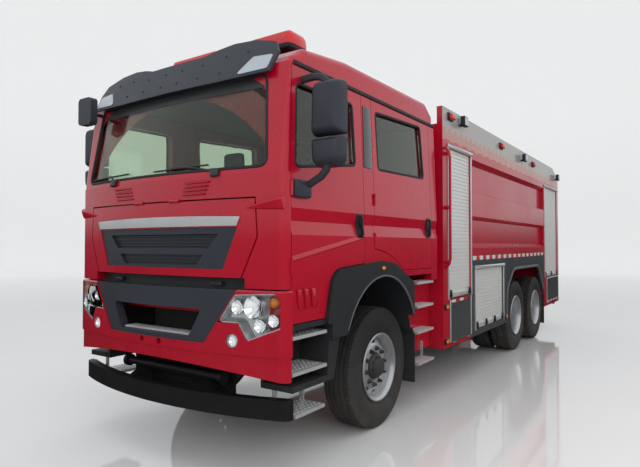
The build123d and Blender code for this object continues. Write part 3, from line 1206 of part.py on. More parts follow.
# Front knuckles: fork on the king pin, stub axle and steering arm
ARM_X = KINGPIN_X
ARM_Y = AXLE_1 + 150
with BuildPart() as knuckle_left:
    box(KINGPIN_X - 50, KINGPIN_X + 92, AXLE_1 - 50, AXLE_1 + 50, HUB_Z + 90.5, HUB_Z + 130)
    box(KINGPIN_X - 50, KINGPIN_X + 92, AXLE_1 - 50, AXLE_1 + 50, HUB_Z - 130, HUB_Z - 90.5)
    box(KINGPIN_X + 62, KINGPIN_X + 92, AXLE_1 - 50, AXLE_1 + 50, HUB_Z - 130, HUB_Z + 130)
    with BuildSketch(level(HUB_Z - 130)):
        with Locations((KINGPIN_X, AXLE_1)):
            Circle(25)
    extrude(amount=260)
    with BuildSketch(Plane(origin=(KINGPIN_X + 92, AXLE_1, HUB_Z), z_dir=(1, 0, 0))):
        Circle(SPINDLE_R)
    extrude(amount=188)
    with BuildSketch(level(HUB_Z - 130)):
        Polygon(
            (KINGPIN_X - 40, AXLE_1),
            (KINGPIN_X + 30, AXLE_1),
            (ARM_X + 32, ARM_Y + 32),
            (ARM_X - 32, ARM_Y + 32),
            align=None,
        )
    extrude(amount=30)
    with BuildSketch(level(HUB_Z - 130)):
        with Locations((ARM_X, ARM_Y)):
            Circle(14 + RUNNING_GAP)
    extrude(amount=30, mode=Mode.SUBTRACT)
save(knuckle_left, "knuckle_left")
mirrored(knuckle_left, "knuckle_right")

with BuildPart() as tie_rod:
    with BuildSketch(Plane(origin=(-ARM_X - 24, ARM_Y, HUB_Z - 158), z_dir=(1, 0, 0))):
        Circle(18)
    extrude(amount=2 * ARM_X + 48)
    for side in (-1, 1):
        with BuildSketch(level(HUB_Z - 160)):
            with Locations((side * ARM_X, ARM_Y)):
                Circle(14)
        extrude(amount=58)
save(tie_rod, "tie_rod")


def wheel_plane_at(axle):
    """Plane through the wheel's axis, X outward and the radius up."""
    return Plane(origin=(0, axle, HUB_Z), x_dir=(1, 0, 0), z_dir=(0, -1, 0))


SEAT_R = RIM_OD / 2 - 30
RIM_INNER_R = SEAT_R - 22


def tyre_section(centre):
    """Tyre from the bead seat to the tread."""
    half = TYRE_WIDTH / 2
    Polygon(
        (centre - half + 40, SEAT_R),
        (centre + half - 40, SEAT_R),
        (centre + half, SEAT_R + 140),
        (centre + half - 26, HUB_Z),
        (centre - half + 26, HUB_Z),
        (centre - half, SEAT_R + 140),
        align=None,
    )


def rim_section(centre):
    """Rim barrel with its two flanges."""
    half = TYRE_WIDTH / 2 - 9
    Polygon(
        (centre - half, RIM_INNER_R),
        (centre + half, RIM_INNER_R),
        (centre + half, RIM_OD / 2),
        (centre + half - 20, RIM_OD / 2),
        (centre + half - 20, SEAT_R),
        (centre - half + 20, SEAT_R),
        (centre - half + 20, RIM_OD / 2),
        (centre - half, RIM_OD / 2),
        align=None,
    )


# Front wheels: single tyre, dished disc, hub with brake drum
FRONT_X = FRONT_TRACK / 2
with BuildPart() as tyre_front_left:
    with BuildSketch(wheel_plane_at(AXLE_1)):
        tyre_section(FRONT_X)
    revolve(axis=Axis((0, AXLE_1, HUB_Z), (1, 0, 0)))
save(tyre_front_left, "tyre_front_left")
mirrored(tyre_front_left, "tyre_front_right")

with BuildPart() as rim_front_left:
    with BuildSketch(wheel_plane_at(AXLE_1)):
        rim_section(FRONT_X)
        Polygon(
            (FRONT_X + 62, 80),
            (FRONT_X + 86, 80),
            (FRONT_X + 86, 205),
            (FRONT_X + 56, RIM_INNER_R + 5),
            (FRONT_X + 34, RIM_INNER_R + 5),
            (FRONT_X + 62, 190),
            align=None,
        )
        Polygon(
            (FRONT_X - 35, SPINDLE_R + RUNNING_GAP),
            (FRONT_X + 142, SPINDLE_R + RUNNING_GAP),
            (FRONT_X + 142, 0),
            (FRONT_X + 158, 0),
            (FRONT_X + 158, 60),
            (FRONT_X + 140, 78),
            (FRONT_X + 52, 95),
            (FRONT_X - 35, 95),
            align=None,
        )
        Polygon((FRONT_X - 30, 195), (FRONT_X + 52, 195), (FRONT_X + 52, 215), (FRONT_X - 30, 215), align=None)
        Polygon((FRONT_X + 28, 80), (FRONT_X + 50, 80), (FRONT_X + 50, 205), (FRONT_X + 28, 205), align=None)
    revolve(axis=Axis((0, AXLE_1, HUB_Z), (1, 0, 0)))
save(rim_front_left, "rim_front_left")
mirrored(rim_front_left, "rim_front_right")

# Rear wheels: twin tyres, deep outer dish, hub with brake drum
INNER_X = DUAL_CENTRE - DUAL_SPACING / 2
OUTER_X = DUAL_CENTRE + DUAL_SPACING / 2
for number, axle in ((2, AXLE_2), (3, AXLE_3)):
    with BuildPart() as tyres_left:
        with BuildSketch(wheel_plane_at(axle)):
            tyre_section(INNER_X)
            tyre_section(OUTER_X)
        revolve(axis=Axis((0, axle, HUB_Z), (1, 0, 0)))
    save(tyres_left, f"tyres_axle{number}_left")
    mirrored(tyres_left, f"tyres_axle{number}_right")

    with BuildPart() as rims_left:
        with BuildSketch(wheel_plane_at(axle)):
            rim_section(INNER_X)
            rim_section(OUTER_X)
            for side in (-1, 1):
                Polygon(
                    (DUAL_CENTRE, 140),
                    (DUAL_CENTRE + side * 16, 140),
                    (DUAL_CENTRE + side * 62, RIM_INNER_R + 5),
                    (DUAL_CENTRE + side * 40, RIM_INNER_R + 5),
                    align=None,
                )
            Polygon(
                (DUAL_CENTRE - 255, REAR_SPINDLE_R + RUNNING_GAP),
                (DUAL_CENTRE + 100, REAR_SPINDLE_R + RUNNING_GAP),
                (DUAL_CENTRE + 100, 0),
                (DUAL_CENTRE + 118, 0),
                (DUAL_CENTRE + 118, 80),
                (DUAL_CENTRE + 95, 110),
                (DUAL_CENTRE + 16, 120),
                (DUAL_CENTRE + 16, 150),
                (DUAL_CENTRE - 16, 150),
                (DUAL_CENTRE - 16, 110),
                (DUAL_CENTRE - 255, 110),
                align=None,
            )
            Polygon(
                (DUAL_CENTRE - 240, 200), (DUAL_CENTRE - 80, 200), (DUAL_CENTRE - 80, 100), (DUAL_CENTRE - 60, 100),
                (DUAL_CENTRE - 60, 222), (DUAL_CENTRE - 240, 222),
                align=None,
            )
        revolve(axis=Axis((0, axle, HUB_Z), (1, 0, 0)))
    save(rims_left, f"rims_axle{number}_left")
    mirrored(rims_left, f"rims_axle{number}_right")

# Roof monitor: swivel with a fork, and the barrel that tilts in it
MONITOR_Z = DECK + 280
with BuildPart() as monitor_swivel:
    with BuildSketch(level(DECK + 110 + RUNNING_GAP)):
        with Locations((0, MONITOR_Y)):
            Circle(85)
    extrude(amount=80)
    for side in (-1, 1):
        inner, outer = sorted((side * 58, side * 80))
        box(inner, outer, MONITOR_Y - 45, MONITOR_Y + 45, DECK + 150, MONITOR_Z + 45)
    with BuildSketch(Plane(origin=(-80, MONITOR_Y, MONITOR_Z), z_dir=(1, 0, 0))):
        Circle(20 + RUNNING_GAP)
    extrude(amount=160, mode=Mode.SUBTRACT)
save(monitor_swivel, "monitor_swivel")

with BuildPart() as monitor_barrel:
    with BuildSketch(Plane(origin=(-84, MONITOR_Y, MONITOR_Z), z_dir=(1, 0, 0))):
        Circle(20)
    extrude(amount=168)
    with BuildSketch(Plane(origin=(-52, MONITOR_Y, MONITOR_Z), z_dir=(1, 0, 0))):
        Circle(52)
    extrude(amount=104)
    with BuildSketch(Plane(origin=(0, MONITOR_Y, MONITOR_Z), x_dir=(0, -1, 0), z_dir=(1, 0, 0))):
        Polygon((0, 0), (600, 0), (600, 62), (480, 62), (460, 36), (40, 46), (0, 46), align=None)
    revolve(axis=Axis((0, MONITOR_Y, MONITOR_Z), (0, -1, 0)))
save(monitor_barrel, "monitor_barrel")
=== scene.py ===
"""Crew-cab fire tender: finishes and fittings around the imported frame, in metres, front at -Y."""

import bmesh
import bpy
import numpy as np
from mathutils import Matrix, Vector


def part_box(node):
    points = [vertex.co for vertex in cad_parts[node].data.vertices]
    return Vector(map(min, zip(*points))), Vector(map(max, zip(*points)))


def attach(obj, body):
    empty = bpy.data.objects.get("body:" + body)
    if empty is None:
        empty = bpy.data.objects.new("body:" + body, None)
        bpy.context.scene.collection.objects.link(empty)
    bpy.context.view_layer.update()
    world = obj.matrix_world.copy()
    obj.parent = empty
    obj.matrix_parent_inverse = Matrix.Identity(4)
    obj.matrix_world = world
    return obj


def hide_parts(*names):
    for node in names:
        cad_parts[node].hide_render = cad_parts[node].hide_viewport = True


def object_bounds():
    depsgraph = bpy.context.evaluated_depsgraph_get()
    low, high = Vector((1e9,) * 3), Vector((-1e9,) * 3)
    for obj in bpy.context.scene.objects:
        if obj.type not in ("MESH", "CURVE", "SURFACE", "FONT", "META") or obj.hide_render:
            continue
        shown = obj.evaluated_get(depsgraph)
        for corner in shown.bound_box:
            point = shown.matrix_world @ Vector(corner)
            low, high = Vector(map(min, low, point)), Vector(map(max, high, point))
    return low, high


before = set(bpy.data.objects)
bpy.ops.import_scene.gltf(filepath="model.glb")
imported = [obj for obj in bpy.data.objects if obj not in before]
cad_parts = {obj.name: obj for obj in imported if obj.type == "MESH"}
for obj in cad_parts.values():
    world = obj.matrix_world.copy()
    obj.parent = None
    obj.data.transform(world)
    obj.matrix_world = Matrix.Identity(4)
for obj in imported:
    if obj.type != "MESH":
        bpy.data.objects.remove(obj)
cad_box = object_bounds()

# Chassis frame
# Pressed steel rails and tubes under a coat of black chassis paint, dull with road dust towards the ground.
# Axles, springs and knuckles are rough castings and forgings in the same black.
RAIL_NODES = ["frame_rails", "cross_members", "underrun_guard"]
CASTING_NODES = ["front_axle", "rear_bogie", "engine_block", "knuckle_left", "knuckle_right", "tie_rod"]
DUST_COLOUR = (0.23, 0.20, 0.17, 1)
DUST_ROUGHNESS = 0.9


def group_tree(name, inputs, outputs):
    """New shader group with named number sockets, returned with its input and output nodes."""
    tree = bpy.data.node_groups.new(name, "ShaderNodeTree")
    for label, value in inputs.items():
        socket = tree.interface.new_socket(label, in_out="INPUT", socket_type="NodeSocketFloat")
        socket.default_value = value
    for label in outputs:
        tree.interface.new_socket(label, in_out="OUTPUT", socket_type="NodeSocketFloat")
    return tree, tree.nodes.new("NodeGroupInput"), tree.nodes.new("NodeGroupOutput")


def feed(tree, socket, value):
    """Sets a node's input to a number or colour, or links it where the value is another node's output."""
    if isinstance(value, bpy.types.NodeSocket):
        tree.links.new(value, socket)
    else:
        socket.default_value = value


def reckoned(tree, operation, *values):
    """Result of a Math node."""
    node = tree.nodes.new("ShaderNodeMath")
    node.operation = operation
    for socket, value in zip(node.inputs, values):
        feed(tree, socket, value)
    return node.outputs["Value"]


def ranged(tree, value, span, reach, soft=False):
    """Result of a Map Range node: the ends of the span are carried to the ends of the reach."""
    node = tree.nodes.new("ShaderNodeMapRange")
    node.interpolation_type = "SMOOTHSTEP" if soft else "LINEAR"
    for label, given in zip(("Value", "From Min", "From Max", "To Min", "To Max"), (value, *span, *reach)):
        feed(tree, node.inputs[label], given)
    return node.outputs["Result"]


def blended(tree, share, first, second):
    """Colour between two colours."""
    node = tree.nodes.new("ShaderNodeMix")
    node.data_type = "RGBA"
    for number, value in ((0, share), (6, first), (7, second)):
        feed(tree, node.inputs[number], value)
    return node.outputs[2]


def clouds(tree, scale, detail, roughness=0.5):
    """Noise over the object's own coordinates."""
    where = tree.nodes.new("ShaderNodeTexCoord")
    noise = tree.nodes.new("ShaderNodeTexNoise")
    noise.inputs["Detail"].default_value = detail
    noise.inputs["Roughness"].default_value = roughness
    tree.links.new(where.outputs["Object"], noise.inputs["Vector"])
    feed(tree, noise.inputs["Scale"], scale)
    return noise.outputs["Fac"]


def places(tree):
    """The object's X, Y and Z as three sockets."""
    where = tree.nodes.new("ShaderNodeTexCoord")
    axes = tree.nodes.new("ShaderNodeSeparateXYZ")
    tree.links.new(where.outputs["Object"], axes.inputs["Vector"])
    return axes.outputs


mottle, given, result = group_tree("mottle", {"Scale": 2.0}, ["Patch"])
mottle.links.new(clouds(mottle, given.outputs["Scale"], 5, 0.62), result.inputs["Patch"])

road_dust, given, result = group_tree("road_dust", {"Top": 1.2, "Strength": 0.3}, ["Mask"])
settled = ranged(road_dust, places(road_dust)["Z"], (0.0, given.outputs["Top"]), (1.0, 0.0))
uneven = reckoned(road_dust, "MULTIPLY", settled, clouds(road_dust, 9, 6))
road_dust.links.new(reckoned(road_dust, "MULTIPLY", uneven, given.outputs["Strength"]), result.inputs["Mask"])

grain, given, result = group_tree("grain", {"Scale": 300.0}, ["Height"])
grain.links.new(clouds(grain, given.outputs["Scale"], 3), result.inputs["Height"])


def use_group(material, tree, **values):
    """Puts a shader group into a material with its own values."""
    node = material.node_tree.nodes.new("ShaderNodeGroup")
    node.node_tree = tree
    for label, value in values.items():
        node.inputs[label].default_value = value
    return node.outputs[0]


def finish(name, light, dark, rough, metallic=0.0, coat=0.0, patch=2.0, speckle=300.0, lift=0.0, dust=0.0,
           top=1.3, shine=0.5):
    """Principled finish: colour and roughness wander together between two values, dust gathers below a
    height, and a fine grain lifts the surface."""
    material = bpy.data.materials.new(name)
    material.use_nodes = True
    tree = material.node_tree
    shader = tree.nodes["Principled BSDF"]
    shader.inputs["Metallic"].default_value = metallic
    shader.inputs["Coat Weight"].default_value = coat
    shader.inputs["Coat Roughness"].default_value = 0.05
    shader.inputs["Specular IOR Level"].default_value = shine
    wander = use_group(material, mottle, Scale=patch)
    colour = blended(tree, wander, (*dark, 1), (*light, 1))
    roughness = ranged(tree, wander, (0.3, 0.7), rough)
    if dust:
        film = use_group(material, road_dust, Top=top, Strength=dust)
        colour = blended(tree, film, colour, DUST_COLOUR)
        dull = tree.nodes.new("ShaderNodeMix")
        for number, value in ((0, film), (2, roughness), (3, DUST_ROUGHNESS)):
            feed(tree, dull.inputs[number], value)
        roughness = dull.outputs[0]
    tree.links.new(colour, shader.inputs["Base Color"])
    tree.links.new(roughness, shader.inputs["Roughness"])
    if lift:
        bump = tree.nodes.new("ShaderNodeBump")
        bump.inputs["Strength"].default_value = lift
        bump.inputs["Distance"].default_value = 0.002
        tree.links.new(use_group(material, grain, Scale=speckle), bump.inputs["Height"])
        tree.links.new(bump.outputs["Normal"], shader.inputs["Normal"])
    return material


def dress(names, material):
    """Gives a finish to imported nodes."""
    for name in names:
        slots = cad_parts[name].data.materials
        slots.clear()
        slots.append(material)


chassis_black = finish("chassis_black", (0.009, 0.009, 0.011), (0.006, 0.006, 0.007), (0.36, 0.5), lift=0.12,
                       speckle=140, dust=0.08, top=1.1, shine=0.3)
cast_black = finish("cast_black", (0.030, 0.029, 0.028), (0.014, 0.014, 0.014), (0.6, 0.8), lift=0.5,
                    speckle=190, patch=5, dust=0.5, top=1.0, shine=0.2)
dress(RAIL_NODES, chassis_black)
dress(CASTING_NODES, cast_black)

# Tyres
# Moulded radial tyres: ribbed tread with shoulder sipes on the steered wheels, open blocks on the driven
# twins. Sidewalls carry moulded rings and stay bare of marks.
SIDEWALL = [(0.104, 0.288), (0.118, 0.296), (0.127, 0.315), (0.141, 0.352), (0.150, 0.395), (0.1535, 0.430),
            (0.151, 0.468), (0.145, 0.503), (0.139, 0.528), (0.133, 0.545)]
TREAD_HALF = 0.124
TREAD_R = 0.5645
TREAD_CROWN = 0.006
SHOULDER_R = 0.546
LUGS, ZIGZAGS, SLITS = 54, 60, 90


def spread(x, y, z):
    """Points from coordinates that are numbers or arrays."""
    return np.stack(np.broadcast_arrays(x, y, z), -1)


def loft(rings, closed=True, caps=True):
    """Skin over rings of points: rings[i, j] is point j of ring i, neighbours both ways are joined by quads,
    the last point of a ring to its first where closed, and the end rings are filled where caps."""
    rings = np.asarray(rings, float)
    count, around = rings.shape[:2]
    index = np.arange(count * around).reshape(count, around)
    here = index if closed else index[:, :-1]
    beside = np.roll(index, -1, axis=1) if closed else index[:, 1:]
    quads = np.stack([here[:-1], beside[:-1], beside[1:], here[1:]], axis=-1).reshape(-1, 4)
    faces = quads.tolist()
    if caps:
        faces += [index[0][::-1].tolist(), index[-1].tolist()]
    return rings.reshape(-1, 3), faces


def join(shells):
    """Several skins as one: points stacked and face numbers moved on."""
    starts = np.cumsum([0] + [len(points) for points, _ in shells])
    faces = [[i + start for i in face] for (_, some), start in zip(shells, starts) for face in some]
    return np.concatenate([points for points, _ in shells]), faces


def flip(shell):
    """The skin's twin on the other side of the truck: X changes sign and faces turn round."""
    points, faces = shell
    return points * (-1, 1, 1), [face[::-1] for face in faces]


def both(shell):
    """A skin with its twin on the other side."""
    return join([shell, flip(shell)])


def piece(name, shell, material, body="chassis", sharp=32):
    """Object made of a skin: doubles merged, faces turned outward, smooth below the sharp angle."""
    points, faces = shell
    mesh = bpy.data.meshes.new(name)
    mesh.from_pydata(points.tolist(), [], faces)
    work = bmesh.new()
    work.from_mesh(mesh)
    bmesh.ops.remove_doubles(work, verts=work.verts, dist=1e-5)
    bmesh.ops.recalc_face_normals(work, faces=work.faces)
    work.to_mesh(mesh)
    work.free()
    mesh.shade_smooth()
    mesh.set_sharp_from_angle(angle=np.radians(sharp))
    mesh.materials.append(material)
    thing = bpy.data.objects.new(name, mesh)
    bpy.context.scene.collection.objects.link(thing)
    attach(thing, body)
    return thing


def spun(section, centre, turns, radial=None):
    """Skin of a section (distance along X, radius) turned about the axle; radial is taken off the radius."""
    section = np.asarray(section, float)
    angle = np.linspace(0, 2 * np.pi, turns, endpoint=False)[:, None]
    radius = section[None, :, 1] - (0 if radial is None else radial)
    return spread(centre[0] + section[None, :, 0], centre[1] + radius * np.cos(angle),
                  centre[2] + radius * np.sin(angle))


def pulse(distance, half, soft):
    """1 within half of a centre line, falling to 0 over soft."""
    return np.clip((half + soft - np.abs(distance)) / soft, 0, 1)


def saw(phase):
    """Triangle wave of a phase counted in turns, from -1 to 1."""
    return 4 * np.abs(phase - np.floor(phase + 0.5)) - 1


def tyre(centre, turns, lanes, driven):
    """Tyre skin: the section is spun about the axle, and the tread pattern is taken off the radius."""
    across = np.linspace(-TREAD_HALF, TREAD_HALF, lanes)
    crown = TREAD_R - TREAD_CROWN * (across / TREAD_HALF) ** 2
    wall = np.array(SIDEWALL)
    section = np.concatenate([wall * (-1, 1), np.stack([across, crown], axis=-1), wall[::-1]])
    x = section[None, :, 0]
    angle = np.linspace(0, 1, turns, endpoint=False)[:, None]
    on_tread = np.clip((section[None, :, 1] - SHOULDER_R) / 0.008, 0, 1)
    if driven:
        lug = angle * LUGS + 2.2 * np.abs(x)
        cut = pulse(saw(lug) - 1, 0.55, 0.25) * np.clip((np.abs(x) - 0.03) / 0.008, 0, 1)
        cut = np.maximum(cut, pulse(np.abs(x) - 0.062 - 0.004 * saw(angle * LUGS), 0.004, 0.004))
        depth = 0.017
    else:
        zigzag = 0.003 * saw(angle * ZIGZAGS)
        lines = [pulse(x - place - zigzag, 0.0045, 0.004) for place in (-0.078, -0.027, 0.027, 0.078)]
        slits = pulse(saw(angle * SLITS) - 1, 0.5, 0.3) * np.clip((np.abs(x) - 0.1) / 0.006, 0, 1)
        cut = np.maximum(np.max(lines, axis=0), 0.8 * slits)
        depth = 0.014
    return loft(spun(section, centre, turns, depth * on_tread * cut)[:, ::-1], caps=False)


def ring_shut(shell, turns, around):
    """Closes a spun skin: the last ring is joined to the first by quads."""
    points, faces = shell
    last = (turns - 1) * around + np.arange(around)
    first = np.arange(around)
    quads = np.stack([last, np.roll(last, -1), np.roll(first, -1), first], axis=-1)
    return points, faces + quads.tolist()


tyre_rubber = finish("tyre_rubber", (0.026, 0.026, 0.027), (0.015, 0.015, 0.016), (0.62, 0.78), lift=0.25,
                     speckle=420, patch=6, dust=0.35, top=1.0, shine=0.25)
AXLE_Y = {}
for number, node in ((1, "tyre_front_left"), (2, "tyres_axle2_left"), (3, "tyres_axle3_left")):
    low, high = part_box(node)
    AXLE_Y[number] = (low.y + high.y) / 2
low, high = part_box("tyre_front_left")
HUB_Z = (low.z + high.z) / 2
FRONT_X = (low.x + high.x) / 2
low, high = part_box("tyres_axle2_left")
TYRE_WIDTH = 0.310
TWIN_X = (low.x + TYRE_WIDTH / 2, high.x - TYRE_WIDTH / 2)
FRONT_TURNS, FRONT_LANES = 360, 53
TWIN_TURNS, TWIN_LANES = 324, 33
for side, turn in (("left", 1), ("right", -1)):
    around = FRONT_LANES + 2 * len(SIDEWALL)
    skin = ring_shut(tyre((FRONT_X, AXLE_Y[1], HUB_Z), FRONT_TURNS, FRONT_LANES, False), FRONT_TURNS, around)
    made = piece(f"steer_tyre_{side}", skin if turn > 0 else flip(skin), tyre_rubber, f"wheel_front_{side}",
                 sharp=50)
    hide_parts(f"tyre_front_{side}")
    for number in (2, 3):
        around = TWIN_LANES + 2 * len(SIDEWALL)
        skins = [ring_shut(tyre((x, AXLE_Y[number], HUB_Z), TWIN_TURNS, TWIN_LANES, True), TWIN_TURNS, around)
                 for x in TWIN_X]
        twin = join(skins)
        made = piece(f"drive_tyres_{number}_{side}", twin if turn > 0 else flip(twin), tyre_rubber,
                     f"wheel_axle{number}_{side}", sharp=50)
        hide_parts(f"tyres_axle{number}_{side}")

# Wheels
# Pressed steel disc wheels in silver paint: rolled rim, dished disc with ten hand holes, ten studs with nuts.
# The front hub is a black casting with a bolted cap; the rear discs lie deep in the outer rim.
RIM_LOOP = [(0.146, 0.306), (0.146, 0.315), (0.140, 0.320), (0.132, 0.317), (0.126, 0.302), (0.116, 0.291),
            (-0.116, 0.291), (-0.126, 0.302), (-0.132, 0.317), (-0.140, 0.320), (-0.146, 0.315),
            (-0.146, 0.306), (-0.132, 0.287), (-0.108, 0.276), (-0.06, 0.271), (0.06, 0.271), (0.108, 0.276),
            (0.132, 0.287)]
STUDS = 10
STUD_R = 0.168
HOLE_R = (0.210, 0.256)
HOLE_OVAL = (0.42, 0.62)
DISC_WALL = 0.012
wheel_silver = finish("wheel_silver", (0.70, 0.71, 0.73), (0.60, 0.61, 0.63), (0.26, 0.4), metallic=0.75,
                      coat=0.3, patch=4, lift=0.06, speckle=260, dust=0.25, top=0.9)
hub_black = finish("hub_black", (0.035, 0.035, 0.037), (0.02, 0.02, 0.021), (0.38, 0.55), lift=0.3,
                   speckle=160, dust=0.4, top=0.9)
nut_steel = finish("nut_steel", (0.20, 0.20, 0.21), (0.12, 0.12, 0.125), (0.3, 0.5), metallic=0.9, patch=12)


def repeat(shell, offsets):
    """The same skin at many places: its points are added to each offset."""
    points, faces = shell
    offsets = np.asarray(offsets, float)
    size = len(points)
    many = (points[None] + offsets[:, None]).reshape(-1, 3)
    return many, [[i + k * size for i in face] for k in range(len(offsets)) for face in faces]


def turned(section, centre, turns=48):
    """Solid of revolution about an X axis through the centre; the section is a closed (out, radius) loop."""
    rings = spun(section, centre, turns)
    return ring_shut(loft(rings, caps=False), turns, len(section))


def disc(profile, centre, hole_depth):
    """Wheel disc: rings of the profile (out, radius), with each tenth of the hand-hole band drawn in from its
    four sides to an oval hole."""
    profile = np.asarray(profile, float)
    reach = np.linspace(-1, 1, 9)[:-1]
    ones = np.ones(8)
    sides = np.concatenate([np.stack([reach, -ones], -1), np.stack([ones, reach], -1),
                            np.stack([-reach, ones], -1), np.stack([-ones, -reach], -1)])
    way = np.arctan2(sides[:, 1], sides[:, 0])
    oval = np.stack([HOLE_OVAL[0] * np.cos(way), HOLE_OVAL[1] * np.sin(way)], -1)
    share = np.array([0, 0.5, 0.9, 1, 1])[:, None, None]
    patch = sides[None] * (1 - share) + oval[None] * share
    sink = np.array([0, 0, 0, 0, hole_depth])[:, None]
    middle = (HOLE_R[0] + HOLE_R[1]) / 2
    radius = middle + patch[..., 1] * (HOLE_R[1] - HOLE_R[0]) / 2
    order = np.argsort(profile[:, 1])
    out = np.interp(radius, profile[order, 1], profile[order, 0]) - sink
    shells = []
    for k in range(STUDS):
        angle = 2 * np.pi * (k + 0.5) / STUDS + patch[..., 0] * np.pi / STUDS
        rings = spread(centre[0] + out, centre[1] + radius * np.cos(angle), centre[2] + radius * np.sin(angle))
        shells.append(loft(rings, caps=False))
    for part in (profile[profile[:, 1] >= HOLE_R[1]], profile[profile[:, 1] <= HOLE_R[0]]):
        rings = spun(part, centre, STUDS * 8)
        points, faces = loft(rings, closed=False, caps=False)
        size = len(part)
        last = (STUDS * 8 - 1) * size + np.arange(size)
        first = np.arange(size)
        quads = np.stack([last[:-1], last[1:], first[1:], first[:-1]], -1)
        shells.append((points, faces + quads.tolist()))
    return join(shells)


def nuts(centre, out, radius, count, across, height):
    """Ring of hexagon nuts on washers, each with its stud end."""
    loop = [(0.0, 0.0), (0.0, across * 0.72), (height * 0.2, across * 0.72), (height * 0.2, across * 0.56),
            (height, across * 0.5), (height, across * 0.3), (height * 1.5, across * 0.28),
            (height * 1.5, 0.0)]
    angle = 2 * np.pi * (np.arange(count) + 0.25) / count
    offsets = spread(out, radius * np.cos(angle), radius * np.sin(angle))
    return repeat(turned(loop, (0, 0, 0), 6), offsets + np.asarray(centre))


FRONT_DISC = [(0.050, 0.274), (0.052, 0.262), (0.058, 0.256), (0.072, 0.233), (0.082, 0.210), (0.086, 0.200),
              (0.086, 0.130), (0.080, 0.122)]
FRONT_HUB = [(-0.03, 0.0), (-0.03, 0.120), (0.088, 0.120), (0.100, 0.117), (0.108, 0.108), (0.112, 0.092),
             (0.138, 0.086), (0.150, 0.078), (0.156, 0.060), (0.157, 0.0)]
REAR_DISC = [(0.040, 0.274), (0.028, 0.264), (0.020, 0.256), (-0.004, 0.233), (-0.016, 0.210),
             (-0.020, 0.200), (-0.020, 0.140), (-0.024, 0.134)]
REAR_HUB = [(-0.30, 0.0), (-0.30, 0.128), (-0.02, 0.128), (0.070, 0.122), (0.090, 0.110), (0.098, 0.088),
            (0.112, 0.080), (0.1165, 0.060), (0.117, 0.0)]
DUAL_X = (TWIN_X[0] + TWIN_X[1]) / 2
for side, turn in (("left", 1), ("right", -1)):
    for number in (1, 2, 3):
        steered = number == 1
        body = f"wheel_front_{side}" if steered else f"wheel_axle{number}_{side}"
        node = f"rim_front_{side}" if steered else f"rims_axle{number}_{side}"
        rims = [turned(RIM_LOOP, (x, AXLE_Y[number], HUB_Z), 96) for x in ([FRONT_X] if steered else TWIN_X)]
        face = (FRONT_X if steered else DUAL_X + 0.036, AXLE_Y[number], HUB_Z)
        hub_at = (FRONT_X if steered else DUAL_X, AXLE_Y[number], HUB_Z)
        dish = disc(FRONT_DISC if steered else REAR_DISC, face, DISC_WALL)
        studs = nuts(face, 0.086 if steered else -0.020, STUD_R, STUDS, 0.034, 0.026)
        hub = join([turned(FRONT_HUB if steered else REAR_HUB, hub_at, 48),
                    nuts(hub_at, 0.108 if steered else 0.085, 0.100, 8, 0.016, 0.009)])
        parts = {"rim": (join(rims), wheel_silver, "wheel_silver"),
                 "disc": (dish, wheel_silver, "wheel_silver"),
                 "nuts": (studs, nut_steel, "cast_iron"), "hub": (hub, hub_black, "cast_iron")}
        for label, (skin, material, slot) in parts.items():
            made = piece(f"{label}_{number}_{side}", skin if turn > 0 else flip(skin), material, body)
            if label == "rim":
                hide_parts(node)
            if label == "disc":
                wall = made.modifiers.new("wall", "SOLIDIFY")
                wall.thickness = DISC_WALL

# Cab and body paint
# Two-pack red over pressed steel, with a clear coat and a faint orange peel.
# The equipment body's upper edge carries a painted reflection of sky and a stepped roofline, a pale band with
# a stepped border, so it has a finish of its own.
RED_LIGHT = (0.43, 0.0015, 0.0190)
RED_DARK = (0.36, 0.0012, 0.0150)
CAB_RED_NODES = ["cab_front", "cab_roof", "cab_rear_wall", "cab_floor", "door_front_left", "door_front_right",
                 "door_rear_left", "door_rear_right", "front_flap", "front_bumper"]
BODY_RED_NODES = ["front_locker", "water_tank", "rear_locker"]
red_paint = finish("red_paint", RED_LIGHT, RED_DARK, (0.24, 0.34), coat=0.7, patch=1.1, lift=0.006,
                   speckle=130, dust=0.08, top=1.5, shine=0.35)
body_red = finish("body_red", RED_LIGHT, RED_DARK, (0.26, 0.38), coat=0.6, patch=1.1, lift=0.008, speckle=120,
                  dust=0.10, top=1.6, shine=0.35)
# Painted reflection: above each stepped edge the outer skin takes a flat colour, a pinkish roofline above
# 2.945 m and grey sky above 3.055 m.
REFLECTION_EDGES = [(2.945, 0.31, 0.018, (0.40, 0.17, 0.13, 1)), (3.055, 0.19, 0.042, (0.30, 0.285, 0.27, 1))]
tree = body_red.node_tree
base = tree.nodes["Principled BSDF"].inputs["Base Color"]
colour = base.links[0].from_socket
axes = places(tree)
outer_skin = reckoned(tree, "GREATER_THAN", reckoned(tree, "ABSOLUTE", axes["X"]),
                      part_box("water_tank")[1].x - 0.003)
for edge, period, step, shade in REFLECTION_EDGES:
    teeth = reckoned(tree, "GREATER_THAN", reckoned(tree, "PINGPONG", axes["Y"], period / 2), period / 4)
    above = reckoned(tree, "GREATER_THAN", axes["Z"], reckoned(tree, "MULTIPLY_ADD", teeth, step, edge))
    colour = blended(tree, reckoned(tree, "MULTIPLY", above, outer_skin), colour, shade)
tree.links.new(colour, base)
dress(CAB_RED_NODES, red_paint)
dress(BODY_RED_NODES, body_red)

